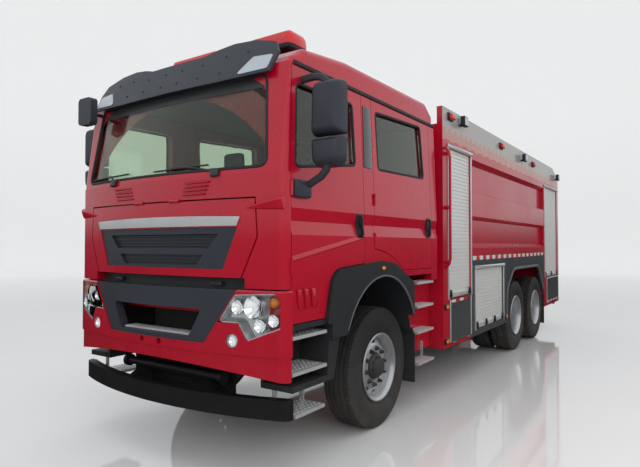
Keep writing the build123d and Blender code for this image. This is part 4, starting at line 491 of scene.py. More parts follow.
# Plastics and dark panels
# Moulded black and anthracite plastics with a fine spark-eroded grain; the low skirts are painted dark grey.
black_plastic = finish("black_plastic", (0.024, 0.025, 0.028), (0.016, 0.017, 0.019), (0.42, 0.55), lift=0.22,
                       speckle=700, patch=3, dust=0.2, top=1.2, shine=0.3)
anthracite = finish("anthracite", (0.036, 0.042, 0.053), (0.027, 0.031, 0.040), (0.34, 0.45), lift=0.16,
                    speckle=650, patch=2.5, dust=0.1, top=1.4, shine=0.35)
skirt_grey = finish("skirt_grey", (0.050, 0.056, 0.060), (0.038, 0.043, 0.047), (0.28, 0.4), coat=0.5,
                    patch=1.5, lift=0.02, speckle=120, dust=0.35, top=1.3)
dress(["mudguards"], black_plastic)
dress(["bumper_insert", "upper_grille", "sun_visor", "front_mirror"], anthracite)
dress(["side_skirts", "flap_front_left", "flap_front_right", "flap_rear_left", "flap_rear_right"], skirt_grey)

# Headlamps
# Clear moulded lenses a little behind the bumper's skin, over chrome bowls in a dark bucket; round fog lamps
# below. Each unit is pushed into its opening from behind.
NOSE = cad_box[0].y
FRONT_SKIN = NOSE + 0.055
HEADLAMP = [(0.695, 1.150), (0.840, 1.356), (1.165, 1.372), (1.204, 1.325), (1.204, 1.125), (0.945, 1.022),
            (0.866, 1.150)]
BOWLS = [(0.985, 1.266, 0.080), (0.856, 1.262, 0.050), (1.040, 1.136, 0.046), (1.146, 1.178, 0.042)]
BULB = (1.136, 1.304, 0.036)
FOG = (0.825, 1.020)
ORIGIN = (0, 0, 0)


def rounded(corners, radius, steps=5, spacing=0.0):
    """Closed outline with an arc in each corner, and more points along its sides at a spacing."""
    corners = np.asarray(corners, float)
    to_last = np.roll(corners, 1, 0) - corners
    to_next = np.roll(corners, -1, 0) - corners
    lengths = np.linalg.norm(to_last, axis=1), np.linalg.norm(to_next, axis=1)
    one = to_last / lengths[0][:, None]
    two = to_next / lengths[1][:, None]
    half = np.arccos(np.clip(np.sum(one * two, 1), -1, 1)) / 2
    reach = np.minimum(radius / np.tan(half), 0.45 * np.minimum(*lengths))
    t = np.linspace(0, 1, steps)[None, :, None]
    start = corners + one * reach[:, None]
    end = corners + two * reach[:, None]
    curve = start[:, None] * (1 - t) ** 2 + 2 * corners[:, None] * t * (1 - t) + end[:, None] * t**2
    line = curve.reshape(-1, 2)
    if not spacing:
        return line
    loop = np.vstack([line, line[:1]])
    travel = np.concatenate([[0], np.cumsum(np.linalg.norm(np.diff(loop, axis=0), axis=1))])
    marks = np.union1d(travel, np.arange(0, travel[-1], spacing))
    return np.stack([np.interp(marks, travel, loop[:, k]) for k in (0, 1)], -1)[:-1]


def inset(outline, distance):
    """Closed outline drawn in by a distance along the normals of its sides."""
    step = np.roll(outline, -1, 0) - np.roll(outline, 1, 0)
    length = np.maximum(np.linalg.norm(step, axis=1, keepdims=True), 1e-9)
    normal = np.stack([step[:, 1], -step[:, 0]], -1) / length
    after = np.roll(outline, -1, 0)
    turning = np.sign(np.sum(outline[:, 0] * after[:, 1] - after[:, 0] * outline[:, 1]))
    return outline - turning * distance * normal


def slab(outline, place, depth, edge=0.002, start=0.0, fill=0):
    """Plate with rounded edges: the outline is carried outward over the depth and drawn in by a quarter round
    at both ends; fill adds rings that shrink towards the middle, to follow a curved surface."""
    turn = np.linspace(0, np.pi / 2, 4)
    draw = np.concatenate([edge * (1 - np.sin(turn)), edge * (1 - np.cos(turn))])
    rise = np.concatenate([edge * (1 - np.cos(turn)), depth - edge + edge * np.sin(turn)])
    loops = [inset(outline, d) for d in draw]
    middle = outline.mean(0)
    shares = np.linspace(1, 0.1, fill + 1)[1:] if fill else []
    loops += [middle + (loops[-1] - middle) * share for share in shares]
    rise = np.concatenate([rise, np.full(len(shares), depth)])
    return loft(np.stack([place(*loop.T, start + h) for loop, h in zip(loops, rise)]))


def bow(x, half, depth, corner):
    """How far a bowed front lies behind its middle at x: a wide arc that turns into a small corner arc."""
    x = np.abs(x)
    wide = (half**2 + depth**2) / (2 * depth)
    middle = half - corner
    back = wide - np.sqrt((wide - corner) ** 2 - middle**2)
    turn = middle * wide / (wide - corner)
    gentle = wide - np.sqrt(wide**2 - np.minimum(x, turn) ** 2)
    tight = back - np.sqrt(np.maximum(corner**2 - (np.clip(x, turn, half) - middle) ** 2, 0))
    return np.where(x < turn, gentle, tight)


def on_bumper(x, z, out):
    """Point of the bumper's face at x and z, moved forward."""
    return spread(x, NOSE + bow(x, 1.25, 0.170, 0.100) - out, z)


def faced(shell, at):
    """A skin turned about X, turned again to face forward and set at a point."""
    points, faces = shell
    return np.stack([points[:, 1], -points[:, 0], points[:, 2]], -1) + np.asarray(at), faces


def bowl(x, z, radius, back):
    """Reflector: a parabola turned about its axis, with a rolled lip and an outer skin, behind the bumper."""
    share = np.linspace(0, 1, 7)
    inner = np.stack([0.6 * radius * (share**2 - 1), radius * share], -1)
    outer = [(0.003, radius + 0.004), (-0.004, radius + 0.006), (-0.6 * radius - 0.004, 0.5 * radius),
             (-0.6 * radius - 0.005, 0)]
    return faced(turned(np.concatenate([inner, outer]), ORIGIN, 32), on_bumper(x, z, -back))


def see_through(material, ior=1.45):
    """Makes a finish a clear one."""
    shader = material.node_tree.nodes["Principled BSDF"]
    shader.inputs["Transmission Weight"].default_value = 1
    shader.inputs["IOR"].default_value = ior
    return material


lamp_chrome = finish("lamp_chrome", (0.93, 0.93, 0.94), (0.86, 0.87, 0.88), (0.04, 0.10), metallic=1.0,
                     patch=8)
bucket_chrome = finish("bucket_chrome", (0.62, 0.64, 0.66), (0.50, 0.52, 0.54), (0.16, 0.28), metallic=0.6,
                       patch=14)
lamp_dark = finish("lamp_dark", (0.035, 0.036, 0.040), (0.022, 0.023, 0.025), (0.3, 0.42), patch=6)
lens_clear = see_through(finish("lens_clear", (0.98, 0.99, 0.99), (0.95, 0.97, 0.97), (0.01, 0.03), patch=3),
                         1.3)
amber_lens = finish("amber_lens", (0.80, 0.24, 0.012), (0.66, 0.17, 0.008), (0.10, 0.2), coat=0.6, patch=20)
outline = rounded(HEADLAMP, 0.024, spacing=0.03)
lens = slab(outline, on_bumper, 0.006, edge=0.003, start=-0.016, fill=4)
rings = [(0.030, -0.088), (0.008, -0.016), (0.002, -0.016), (0.020, -0.092)]
bucket = loft(np.stack([on_bumper(*inset(outline, d).T, out) for d, out in rings]))
bulb = [(-0.02, 0.0), (-0.02, BULB[2]), (0.0, BULB[2]), (0.012, 0.8 * BULB[2]), (0.02, 0.45 * BULB[2]),
        (0.022, 0.0)]
fog_ring = [(-0.03, 0.043), (0.004, 0.043), (0.008, 0.045), (0.008, 0.049), (0.004, 0.0515), (-0.03, 0.0515)]
fog_glass = [(-0.006, 0.0), (-0.006, 0.042), (-0.002, 0.042), (0.002, 0.030), (0.004, 0.0)]
bowls = join([bowl(*lamp, 0.024) for lamp in BOWLS] + [bowl(*FOG, 0.041, 0.014)])
fog_lens = faced(turned(fog_glass, ORIGIN, 32), on_bumper(*FOG, -0.008))
fog_rim = faced(turned(fog_ring, ORIGIN, 32), on_bumper(*FOG, -0.010))
made = piece("headlamp_lenses", both(join([lens, fog_lens])), lens_clear)
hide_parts("front_lamps")
piece("headlamp_buckets", both(join([bucket, fog_rim])), bucket_chrome)
piece("headlamp_bowls", both(bowls), lamp_chrome, sharp=50)
piece("headlamp_turn_bulbs", both(faced(turned(bulb, ORIGIN, 24), on_bumper(*BULB[:2], -0.034))), amber_lens)

# Front trim
# Chrome strip over the grille, bars in the grille's slots, louvres in the cowl and an aluminium step in the
# bumper. All are clipped or riveted on from the front.
CAB_HALF = 1.236
SCREEN_FOOT, GUTTER = 2.24, 3.06
STEP_FRONT, STEP_BACK = NOSE + 0.048, NOSE + 0.165
STEP_TEETH = 27


def on_cab(x, z, out):
    """Point of the cab's bowed front at x and z, moved forward; above the screen's foot it leans back."""
    lean = np.clip((z - SCREEN_FOOT) / (GUTTER - SCREEN_FOOT), 0, 1)
    skin = bow(x, CAB_HALF - 0.041 * lean, 0.120 - 0.045 * lean, 0.080 - 0.058 * lean)
    return spread(x, FRONT_SKIN + 0.150 * lean + skin - out, z)


def panel(corners, place, depth, start=0.0, nu=36, nv=2):
    """Thin plate over a four-cornered patch: corners are blended both ways and laid on a surface."""
    a, b, c, d = np.asarray(corners, float)
    u = np.linspace(0, 1, nu)[:, None, None]
    v = np.concatenate([np.linspace(0, 1, nv), np.linspace(1, 0, nv)])[None, :, None]
    flat = (1 - v) * ((1 - u) * a + u * b) + v * ((1 - u) * d + u * c)
    out = start + np.concatenate([np.full(nv, depth), np.zeros(nv)])
    return loft(place(flat[..., 0], flat[..., 1], out[None, :] + 0 * flat[..., 0]))


def level(height):
    """A level plane: places points of it, moved up."""
    return lambda x, y, out: spread(x, y, height + out)


def upright(y):
    """A plane across the truck: places points of it, moved forward."""
    return lambda x, z, out: spread(x, y - out, z)


def oblong(x0, x1, y0, y1):
    """Corners of a four-sided outline between two places each way."""
    return [(x0, y0), (x1, y0), (x1, y1), (x0, y1)]


def on_flap(x, z, out):
    """The cab's front with the strip's upper edge arched."""
    return on_cab(x, z + 0.014 * (1 - (x / 0.88) ** 2) * (z - 1.85) / 0.07, out)


def sweep(profile, path, out, ring=True):
    """Moulding: a closed profile of (sideways, outward) pairs stands square to the path all along."""
    path = np.asarray(path, float)
    profile = np.asarray(profile, float)
    ahead = np.roll(path, -1, 0) - np.roll(path, 1, 0) if ring else np.gradient(path, axis=0)
    aside = np.cross(ahead, np.broadcast_to(np.asarray(out, float), path.shape))
    lift = np.cross(aside, ahead)
    aside /= np.linalg.norm(aside, axis=1, keepdims=True)
    lift /= np.linalg.norm(lift, axis=1, keepdims=True)
    rings = path[:, None] + profile[None, :, :1] * aside[:, None] + profile[None, :, 1:] * lift[:, None]
    shell = loft(rings, caps=not ring)
    return ring_shut(shell, len(path), len(profile)) if ring else shell


def tube(path, radius, out=(0, 0, 1), sides=10):
    """Round bar along a path."""
    angle = np.linspace(0, 2 * np.pi, sides, endpoint=False)
    return sweep(radius * np.stack([np.cos(angle), np.sin(angle)], -1), path, out, ring=False)


chrome = finish("chrome", (0.90, 0.91, 0.92), (0.78, 0.79, 0.80), (0.12, 0.3), metallic=0.9, patch=4)
strip = panel([(-0.842, 1.858), (0.842, 1.858), (0.872, 1.925), (-0.872, 1.925)], on_flap, 0.010, nv=5)
piece("grille_strip", strip, chrome, "front_flap")
bars = []
for z, half in ((1.712, 0.575), (1.738, 0.600), (1.764, 0.625), (1.786, 0.645), (1.584, 0.455),
                (1.610, 0.478)):
    bars.append(panel(oblong(-half, half, z - 0.004, z + 0.004), on_cab, 0.010, -0.034))
piece("grille_bars", join(bars), lamp_dark, "front_flap")
slots = []
for number in range(4):
    z = 2.098 + 0.030 * number
    left, right = 0.300 + 0.012 * number, 0.545 + 0.014 * number
    louvre = [(left, z), (right, z), (right + 0.008, z + 0.016), (left + 0.008, z + 0.016)]
    slots.append(slab(rounded(louvre, 0.007, spacing=0.04), on_cab, 0.009, edge=0.0075, start=-0.001))
piece("cowl_louvres", both(join(slots)), red_paint)
t = np.linspace(0, 1, 16)[:, None]
wedge_x, wedge_z = 0.930 + 0.292 * t, 1.985 + 0.030 * t
tall, proud = 0.008 + 0.046 * t, 0.004 + 0.034 * t
ridge = np.array([(-1.0, -0.2), (-0.7, 0.45), (0.3, 1.0), (0.8, 0.92), (1.1, -0.2)])
fin = loft(on_cab(wedge_x + 0 * ridge[:, 0], wedge_z + tall * ridge[:, 0], proud * ridge[:, 1]))
piece("corner_fins", both(fin), red_paint)
tow_tube = turned([(-0.60, 0.0), (-0.60, 0.052), (-0.56, 0.052), (-0.56, 0.034), (0.56, 0.034), (0.56, 0.052),
                   (0.60, 0.052), (0.60, 0.0)], (0, NOSE + 0.235, 0.690), 24)
piece("cross_tube", tow_tube, chassis_black)
# Painted shade: a dark panel set back in the gap between the flap and the bumper stands in for the shade
# there, with two latches on it.
cover = panel(oblong(-0.905, 0.905, 1.380, 1.520), on_cab, 0.012, -0.100)
latches = [slab(rounded(oblong(x - 0.055, x + 0.055, 1.405, 1.440), 0.012, spacing=0.02), on_cab,
                0.040, edge=0.008, start=-0.090) for x in (-0.60, 0.60)]
piece("front_gap_shade_panel", join([cover] + latches), lamp_dark)
ribs = [slab(rounded(oblong(-0.60, 0.60, z, z + 0.010), 0.003, 2), upright(NOSE + 0.330), 0.012, 0.003)
        for z in np.arange(0.500, 0.960, 0.030)]
screen = slab(rounded(oblong(-0.62, 0.62, 0.480, 0.985), 0.02), upright(NOSE + 0.342), 0.012)
piece("radiator_screen", join([screen] + ribs), chassis_black)
crease_x = np.linspace(-1.17, 1.17, 60)
piece("bumper_crease", tube(on_bumper(crease_x, 0.920 + 0 * crease_x, -0.008), 0.007, (0, 0, 1), 8),
      red_paint)
tread = slab(rounded(oblong(-0.395, 0.395, STEP_FRONT, STEP_BACK), 0.006), level(1.024), 0.012)
tooth = slab(rounded(oblong(-0.004, 0.004, STEP_FRONT + 0.008, STEP_BACK - 0.008), 0.003, 2), level(1.036),
             0.006)
offsets = np.zeros((STEP_TEETH, 3))
offsets[:, 0] = np.linspace(-0.37, 0.37, STEP_TEETH)
aluminium = finish("aluminium", (0.78, 0.79, 0.80), (0.66, 0.67, 0.69), (0.30, 0.44), metallic=0.6, patch=5,
                   lift=0.08, speckle=260, dust=0.25, top=1.2)
piece("bumper_step", join([tread, repeat(tooth, offsets)]), aluminium)

# Windscreen and wipers
# Bonded laminated screen with a black border along its top, a rubber seal all round and two wipers parked
# low. The door panes are the same tinted glass.
SCREEN = [(-1.085, 2.285), (1.085, 2.285), (1.010, 2.985), (-1.010, 2.985)]
BLADE = [(-0.006, 0.0), (-0.006, 0.010), (-0.003, 0.022), (0.003, 0.022), (0.006, 0.010), (0.006, 0.0)]
SEAL = [(-0.012, -0.014), (-0.012, 0.002), (-0.006, 0.006), (0.006, 0.006), (0.012, 0.002), (0.012, -0.014)]


def on_screen(x, z, out):
    """The screen's face, which lies behind the cab's skin."""
    return on_cab(x, z, out - 0.020)


cab_glass = see_through(finish("cab_glass", (0.66, 0.76, 0.64), (0.60, 0.70, 0.58), (0.0, 0.0), patch=1.5))
rubber = finish("rubber", (0.022, 0.022, 0.023), (0.013, 0.013, 0.014), (0.5, 0.66), lift=0.15, speckle=500)
dress(["windscreen", "glass_front_left", "glass_front_right", "glass_rear_left", "glass_rear_right"],
      cab_glass)
edge = rounded(SCREEN, 0.070, spacing=0.05)
piece("windscreen_seal", sweep(SEAL, on_cab(*edge.T, -0.001), (0, -1, 0)), rubber)
band = panel([(-1.020, 2.888), (1.020, 2.888), (1.009, 2.984), (-1.009, 2.984)], on_screen, 0.0015, nu=40)
piece("windscreen_band", band, lamp_dark)
wipers = []
for pivot_x, pivot_z, blade in ((-0.605, 2.262, (-1.02, -0.42)), (0.640, 2.262, (-0.06, 0.54))):
    middle = sum(blade) / 2
    arm_x = np.linspace(pivot_x, middle, 8)
    arm_z = pivot_z + 0.075 * np.linspace(0, 1, 8) ** 0.7
    wipers.append(tube(on_cab(arm_x, arm_z, 0.012 - 0.022 * np.linspace(0, 1, 8)), 0.008, (0, -1, 0)))
    blade_x = np.linspace(*blade, 12)
    blade_z = 2.325 + 0.02 * (blade_x - middle)
    wipers.append(sweep(BLADE, on_screen(blade_x, blade_z, 0.001), (0, -1, 0), ring=False))
    cover = [(pivot_x - 0.040, pivot_z - 0.038), (pivot_x + 0.040, pivot_z - 0.030),
             (pivot_x + 0.034, pivot_z + 0.030), (pivot_x - 0.034, pivot_z + 0.024)]
    wipers.append(slab(rounded(cover, 0.018, spacing=0.02), on_cab, 0.034, edge=0.014, start=-0.004))
piece("wipers", join(wipers), lamp_dark)

# Doors
# Pressed doors with rubber window seals, recessed pull handles, a crease and three louvres by the arch.
FRONT_WINDOW = [(-4.625, 2.285), (-3.765, 2.400), (-3.785, 2.925), (-4.580, 2.912)]
REAR_WINDOW = [(-3.353, 2.412), (-2.321, 2.433), (-2.373, 2.985), (-3.377, 2.940)]
DOORS = [("front", FRONT_WINDOW, (-3.718, 1.790, 1.968), (-4.600, -3.690, 1.600, 2.250)),
         ("rear", REAR_WINDOW, (-2.244, 1.810, 1.990), (-3.400, -2.200, 1.720, 2.380))]
SIDE_Z = (1.150, 1.790, 1.890, 1.985, 3.060)
SIDE_X = (1.232, 1.240, 1.216, 1.236, 1.195)
handle_black = finish("handle_black", (0.020, 0.020, 0.022), (0.013, 0.013, 0.015), (0.3, 0.42), lift=0.08,
                      speckle=600)
card_grey = finish("card_grey", (0.115, 0.118, 0.122), (0.090, 0.092, 0.096), (0.6, 0.75), lift=0.05,
                   speckle=420)


def sideways(x):
    """A plane along the truck: places points of it, moved outward."""
    return lambda y, z, out: spread(x + out, y, z)


def on_side(y, z, out):
    """Point of the cab's left side at y and z, moved outward."""
    return spread(np.interp(z, SIDE_Z, SIDE_X) + out, y, z)


def handed(name, shell, material, body, replaces=None):
    """A piece on the left and its twin on the right, each riding on its own body."""
    for side, skin in (("left", shell), ("right", flip(shell))):
        made = piece(f"{name}_{side}", skin, material, f"{body}_{side}")
        if replaces:
            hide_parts(f"{replaces}_{side}")


for door, window, grip, card in DOORS:
    edge = rounded(window, 0.045, spacing=0.06)
    handed(f"window_seal_{door}", sweep(SEAL, on_side(*edge.T, -0.002), (1, 0, 0)), rubber, f"door_{door}")
    y, foot, head = grip
    plate = rounded(oblong(y - 0.052, y + 0.052, foot - 0.016, head + 0.016), 0.020, spacing=0.03)
    t = np.linspace(0, 1, 11)
    grip_path = on_side(y + 0 * t, foot + (head - foot) * t, 0.012 + 0.030 * np.sin(np.pi * t) ** 0.5)
    handle = join([slab(plate, on_side, 0.012, edge=0.005, start=-0.004), tube(grip_path, 0.012, (0, 1, 0))])
    handed(f"handle_{door}", handle, handle_black, f"door_{door}")
    y0, y1, z0, z1 = card
    lining = slab(rounded(oblong(y0, y1, z0, z1), 0.06, spacing=0.05), on_side, 0.014, edge=0.006,
                  start=-0.106)
    rest = [(y0 + 0.15, z1 - 0.32), (y1 - 0.12, z1 - 0.30), (y1 - 0.12, z1 - 0.22), (y0 + 0.15, z1 - 0.24)]
    rest = slab(rounded(rest, 0.03, spacing=0.05), on_side, 0.06, edge=0.02, start=-0.160)
    handed(f"door_card_{door}", join([lining, rest]), card_grey, f"door_{door}")
fins = []
for y in (-4.600, -4.512, -4.424):
    fin = [(y, 1.250), (y + 0.066, 1.246), (y + 0.036, 1.392), (y - 0.030, 1.400)]
    fins.append(slab(rounded(fin, 0.012, spacing=0.04), on_side, 0.012, edge=0.010, start=-0.001))
crease_y = np.linspace(-4.678, -3.700, 14)
crease_z = 1.605 + 0.165 * np.linspace(0, 1, 14)
crease = sweep([(-0.040, -0.002), (-0.010, 0.006), (0.0, 0.007), (0.006, 0.004), (0.010, -0.002)],
               on_side(crease_y, crease_z, 0.0), (1, 0, 0), ring=False)
handed("door_pressing", join(fins + [crease]), red_paint, "door_front")
strip = slab(rounded([(-3.618, 2.40), (-3.472, 2.40), (-3.478, 2.955), (-3.612, 2.955)], 0.02, spacing=0.05),
             on_side, 0.006)
pillar_gloss = finish("pillar_gloss", (0.035, 0.040, 0.043), (0.028, 0.032, 0.034), (0.05, 0.12), coat=0.8,
                      patch=2)
piece("pillar_strips", both(strip), pillar_gloss)
gutter_y = np.linspace(-4.610, -1.995, 24)
rail = sweep([(-0.017, -0.004), (-0.017, 0.008), (-0.012, 0.013), (0.011, 0.013), (0.017, 0.008),
              (0.017, -0.004)], spread(1.196, gutter_y, 3.060), (1, 0, 0), ring=False)
piece("gutters", both(rail), black_plastic)
lamp = slab(rounded(oblong(-3.372, -3.312, 1.490, 1.520), 0.012), sideways(1.265), 0.014, edge=0.006)
piece("arch_markers", both(lamp), amber_lens)

# Door mirrors
# Black moulded two-part housings with soft front edges, on bent arms; the panes face the rear.
MIRROR_BACK, MIRROR_DEPTH = -4.440, 0.130


def strip_box(y0, y1, z0, z1, place, depth, edge=0.003, start=0.0, corner=0.004):
    """Narrow bar between two corners of a surface."""
    return slab(rounded(oblong(y0, y1, z0, z1), corner, 3), place, depth, edge, start)


def mirror_shell(corners, radii, soft):
    """Housing: the outline at the pane is drawn in by soft at the nose, along a quarter ellipse."""
    outline = rounded(corners, np.array(radii), spacing=0.03)
    low, high = outline.min(0), outline.max(0)
    middle, half = (low + high) / 2, (high - low) / 2
    turn = np.linspace(0, np.pi / 2, 9)
    draw = np.concatenate([[0.006], soft * (1 - np.cos(turn))])
    depth = np.concatenate([[0.0], 0.006 + (MIRROR_DEPTH - 0.006) * np.sin(turn)])
    rings = middle + (outline - middle) * (1 - draw[:, None, None] / half)
    return loft(spread(rings[..., 0], MIRROR_BACK - depth[:, None], rings[..., 1]))


ARM = rounded(oblong(-0.026, 0.026, -0.024, 0.024), 0.018)
shells = [mirror_shell([(1.290, 2.515), (1.560, 2.515), (1.560, 2.915), (1.302, 2.915)],
                       (0.02, 0.02, 0.06, 0.07), 0.050),
          mirror_shell([(1.300, 2.280), (1.552, 2.280), (1.558, 2.500), (1.292, 2.500)],
                       (0.07, 0.08, 0.02, 0.02), 0.050)]
for knots in ([(1.200, 2.952), (1.300, 2.958), (1.375, 2.945), (1.420, 2.905), (1.428, 2.860)],
              [(1.235, 2.150), (1.300, 2.182), (1.370, 2.215), (1.415, 2.260), (1.428, 2.310)]):
    x, z = np.array(knots).T
    marks = np.linspace(0, len(knots) - 1, 17)
    way = spread(np.interp(marks, range(len(knots)), x), -4.505, np.interp(marks, range(len(knots)), z))
    shells.append(sweep(ARM, way, (0, -1, 0), ring=False))
shells.append(strip_box(-4.670, -4.475, 2.060, 2.190, sideways(1.240), 0.045, 0.014, -0.015, 0.025))
handed("mirror_housings", join(shells), anthracite, "door_front", "mirror")
panes = []
for low, high in ((2.290, 2.490), (2.525, 2.905)):
    panes.append(slab(rounded(oblong(1.315, 1.535, low, high), 0.03, spacing=0.04),
                      lambda x, z, out: spread(x, -4.441 + out, z), 0.004, edge=0.001))
handed("mirror_panes", join(panes), lamp_chrome, "door_front")

# Sun visor
# Tinted moulded visor on three brackets, held by screws, with a pale marker lamp plate near each end.
VISOR_FOOT, VISOR_RISE = 2.960, 0.380
SCREWS = [(0.10, 3.050), (0.34, 3.050), (0.58, 3.050), (0.34, 3.170), (0.58, 3.200), (0.80, 3.200),
          (0.10, 3.170)]


def on_visor(x, z, out):
    """Point of the visor's bowed and leaning face, moved forward."""
    lean = (z - VISOR_FOOT) / VISOR_RISE
    return spread(x, FRONT_SKIN + 0.070 + 0.185 * lean + bow(x, 1.14, 0.060, 0.060) - out, z)


marker_white = finish("marker_white", (0.42, 0.46, 0.51), (0.36, 0.40, 0.45), (0.08, 0.16), coat=0.8, patch=9)
plate = slab(rounded([(0.760, 2.998), (1.050, 3.008), (1.062, 3.128), (0.880, 3.138)], 0.022, spacing=0.03),
             on_visor, 0.008, edge=0.003, start=-0.001)
screw = turned([(-0.004, 0.0), (-0.004, 0.010), (0.003, 0.010), (0.005, 0.006), (0.005, 0.0)], ORIGIN, 8)
screws = [faced(screw, on_visor(x, z, 0.001)) for x, z in SCREWS]
piece("visor_lamps", both(plate), marker_white)
piece("visor_screws", both(join(screws)), lamp_dark)

# Light bar
# Fluted red lenses with a grey speaker cover between them, on a black tray with two feet.
BAR_Y = -3.960
BAR_FOOT = 3.468
FLUTE_PITCH = 0.030
BAR_SECTION = [(-0.146, BAR_FOOT), (-0.152, 3.520), (-0.132, 3.572), (-0.092, 3.594), (0.092, 3.594),
               (0.132, 3.572), (0.152, 3.520), (0.146, BAR_FOOT)]


def bar_cover(start, stop, flute, soft):
    """Lens cover: the bar's section is carried along X, drawn in at the ends and waved by fine flutes."""
    section = np.array(BAR_SECTION)
    x = np.linspace(start, stop, int((stop - start) / 0.005))
    near = np.minimum(x - start, stop - x) / soft
    draw = 1 - 0.35 * np.clip(1 - near, 0, 1) ** 2
    wave = flute * np.cos(2 * np.pi * x / FLUTE_PITCH)
    wide = section[None, :, 0] * draw[:, None] + np.sign(section[None, :, 0]) * wave[:, None]
    tall = BAR_FOOT + (section[None, :, 1] - BAR_FOOT) * draw[:, None]
    return loft(spread(x[:, None], BAR_Y + wide, tall))


red_lens = finish("red_lens", (0.62, 0.010, 0.012), (0.50, 0.006, 0.008), (0.08, 0.16), coat=0.8, patch=6)
bar_grey = finish("bar_grey", (0.30, 0.31, 0.32), (0.25, 0.26, 0.27), (0.35, 0.5), lift=0.1, speckle=300)
tray = slab(rounded(oblong(-0.766, 0.766, BAR_Y - 0.148, BAR_Y + 0.148), 0.05), level(3.425), 0.045,
            edge=0.012)
foot = slab(rounded(oblong(0.500, 0.620, BAR_Y - 0.095, BAR_Y + 0.095), 0.015), level(3.262), 0.168,
            edge=0.006)
lenses = [bar_cover(-0.766, -0.130, 0.0015, 0.05), bar_cover(0.280, 0.766, 0.0015, 0.05)]
made = piece("bar_lenses", join(lenses), red_lens)
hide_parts("light_bar")
piece("bar_middle", bar_cover(-0.124, 0.274, 0.0, 0.02), bar_grey)
piece("bar_tray", join([tray, both(foot)]), black_plastic)

# Steps
# Aluminium treads punched with rows of grip teeth, bolted in steps below both doors.
TREADS = [(0.955, 1.228, -4.660, -4.217, 0.796), (0.955, 1.228, -4.660, -4.217, 1.056),
          (0.990, 1.240, -4.635, -4.265, 0.496), (1.075, 1.225, -2.500, -2.075, 0.806),
          (1.075, 1.225, -2.500, -2.075, 1.076), (1.075, 1.225, -2.500, -2.075, 1.326),
          (1.060, 1.230, -2.485, -2.075, 0.476)]
dress(["steps"], aluminium)
stud = [(0.0, 0.0), (0.0, 0.011), (0.004, 0.009), (0.006, 0.005), (0.006, 0.0)]
points, faces = turned(stud, ORIGIN, 6)
stud_up = (points[:, [1, 2, 0]], faces)
teeth = []
for x0, x1, y0, y1, top in TREADS:
    rows = np.meshgrid(np.arange(x0 + 0.03, x1 - 0.02, 0.045), np.arange(y0 + 0.03, y1 - 0.02, 0.045))
    teeth.append(repeat(stud_up, spread(rows[0].ravel(), rows[1].ravel(), top - 0.001)))
piece("step_teeth", both(join(teeth)), aluminium)

# Wheel arches
# The front arch has a rolled bead along its edge; the rear arch a bolted lip of black rubber.
ARCH_Y, ARCH_Z, ARCH_R = -3.305, 0.730, 0.704
bead_angle = np.linspace(np.radians(24), np.radians(156), 48)
bead = tube(spread(1.258, ARCH_Y + ARCH_R * np.cos(bead_angle), ARCH_Z + ARCH_R * np.sin(bead_angle)), 0.011,
            (1, 0, 0))
arch_grey = finish("arch_grey", (0.105, 0.110, 0.118), (0.080, 0.084, 0.090), (0.4, 0.52), lift=0.12,
                   speckle=500, dust=0.2, top=1.4)
piece("front_arch_beads", both(bead), arch_grey)
corners = np.array([(0.780, 0.530), (0.807, 1.010), (1.195, 1.335), (2.985, 1.335), (3.440, 0.800)])
share = np.linspace(0, 1, 60)
travel = np.concatenate([[0], np.cumsum(np.linalg.norm(np.diff(corners, axis=0), axis=1))])
lip_y, lip_z = (np.interp(share * travel[-1], travel, corners[:, k]) for k in (0, 1))
smooth = np.array([0.06, 0.12, 0.2, 0.24, 0.2, 0.12, 0.06])
lip_y, lip_z = (np.convolve(np.pad(line, 3, "edge"), smooth / smooth.sum(), "valid")
                for line in (lip_y, lip_z))
lip = sweep([(-0.022, -0.020), (-0.022, 0.004), (-0.012, 0.010), (0.012, 0.010), (0.022, 0.004),
             (0.022, -0.020)], spread(1.250, lip_y, lip_z), (1, 0, 0), ring=False)
piece("rear_arch_lips", both(lip), arch_grey)

# Roller shutters
# Curtains of light grey slats in bright rails, with a hood above, a lift bar at the foot and black catches.
SHUTTERS = [(-1.675, -0.893, 1.085, 2.870, 2), (3.495, 4.695, 1.085, 2.870, 3),
            (-0.715, 0.581, 0.600, 1.400, 4)]
BODY_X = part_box("water_tank")[1].x
REAR_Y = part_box("rear_locker")[1].y
shutter_grey = finish("shutter_grey", (0.72, 0.72, 0.70), (0.64, 0.64, 0.62), (0.36, 0.48), metallic=0.35,
                      patch=2.2, lift=0.05, speckle=220, dust=0.15, top=1.6)
dress(["shutters"], shutter_grey)


def on_body(y, z, out):
    """Point of the equipment body's left side, moved outward."""
    return spread(BODY_X + out, y, z)


def on_rear(x, z, out):
    """Point of the body's rear wall, moved rearward."""
    return spread(x, REAR_Y + out, z)


def blocks(spots, half, low, high, *shape):
    """Small blocks on the body's side, each reaching half both ways along it and from low to high."""
    return [strip_box(y - half, y + half, z + low, z + high, on_body, *shape) for y, z in spots]


rails, catches = [], []
for y0, y1, z0, z1, count in SHUTTERS:
    for edge in (y0 - 0.026, y1):
        rails.append(strip_box(edge, edge + 0.026, z0 - 0.01, z1, on_body, 0.012))
    rails.append(strip_box(y0 - 0.034, y1 + 0.034, z1 - 0.004, z1 + 0.042, on_body, 0.026, 0.010))
    rails.append(strip_box(y0 + 0.004, y1 - 0.004, z0 + 0.004, z0 + 0.074, on_body, 0.018, 0.006, -0.020))
    for y in np.linspace(y0 + 0.06, y1 - 0.06, count):
        catches.append(strip_box(y - 0.045, y + 0.045, z0 + 0.012, z0 + 0.048, on_body, 0.014, 0.005, -0.002,
                                 0.010))
        catches.append(strip_box(y - 0.022, y + 0.022, z0 + 0.030, z0 + 0.100, on_body, 0.018, 0.006, -0.002,
                                 0.012))
piece("shutter_rails", both(join(rails)), aluminium)
piece("shutter_catches", both(join(catches)), handle_black)
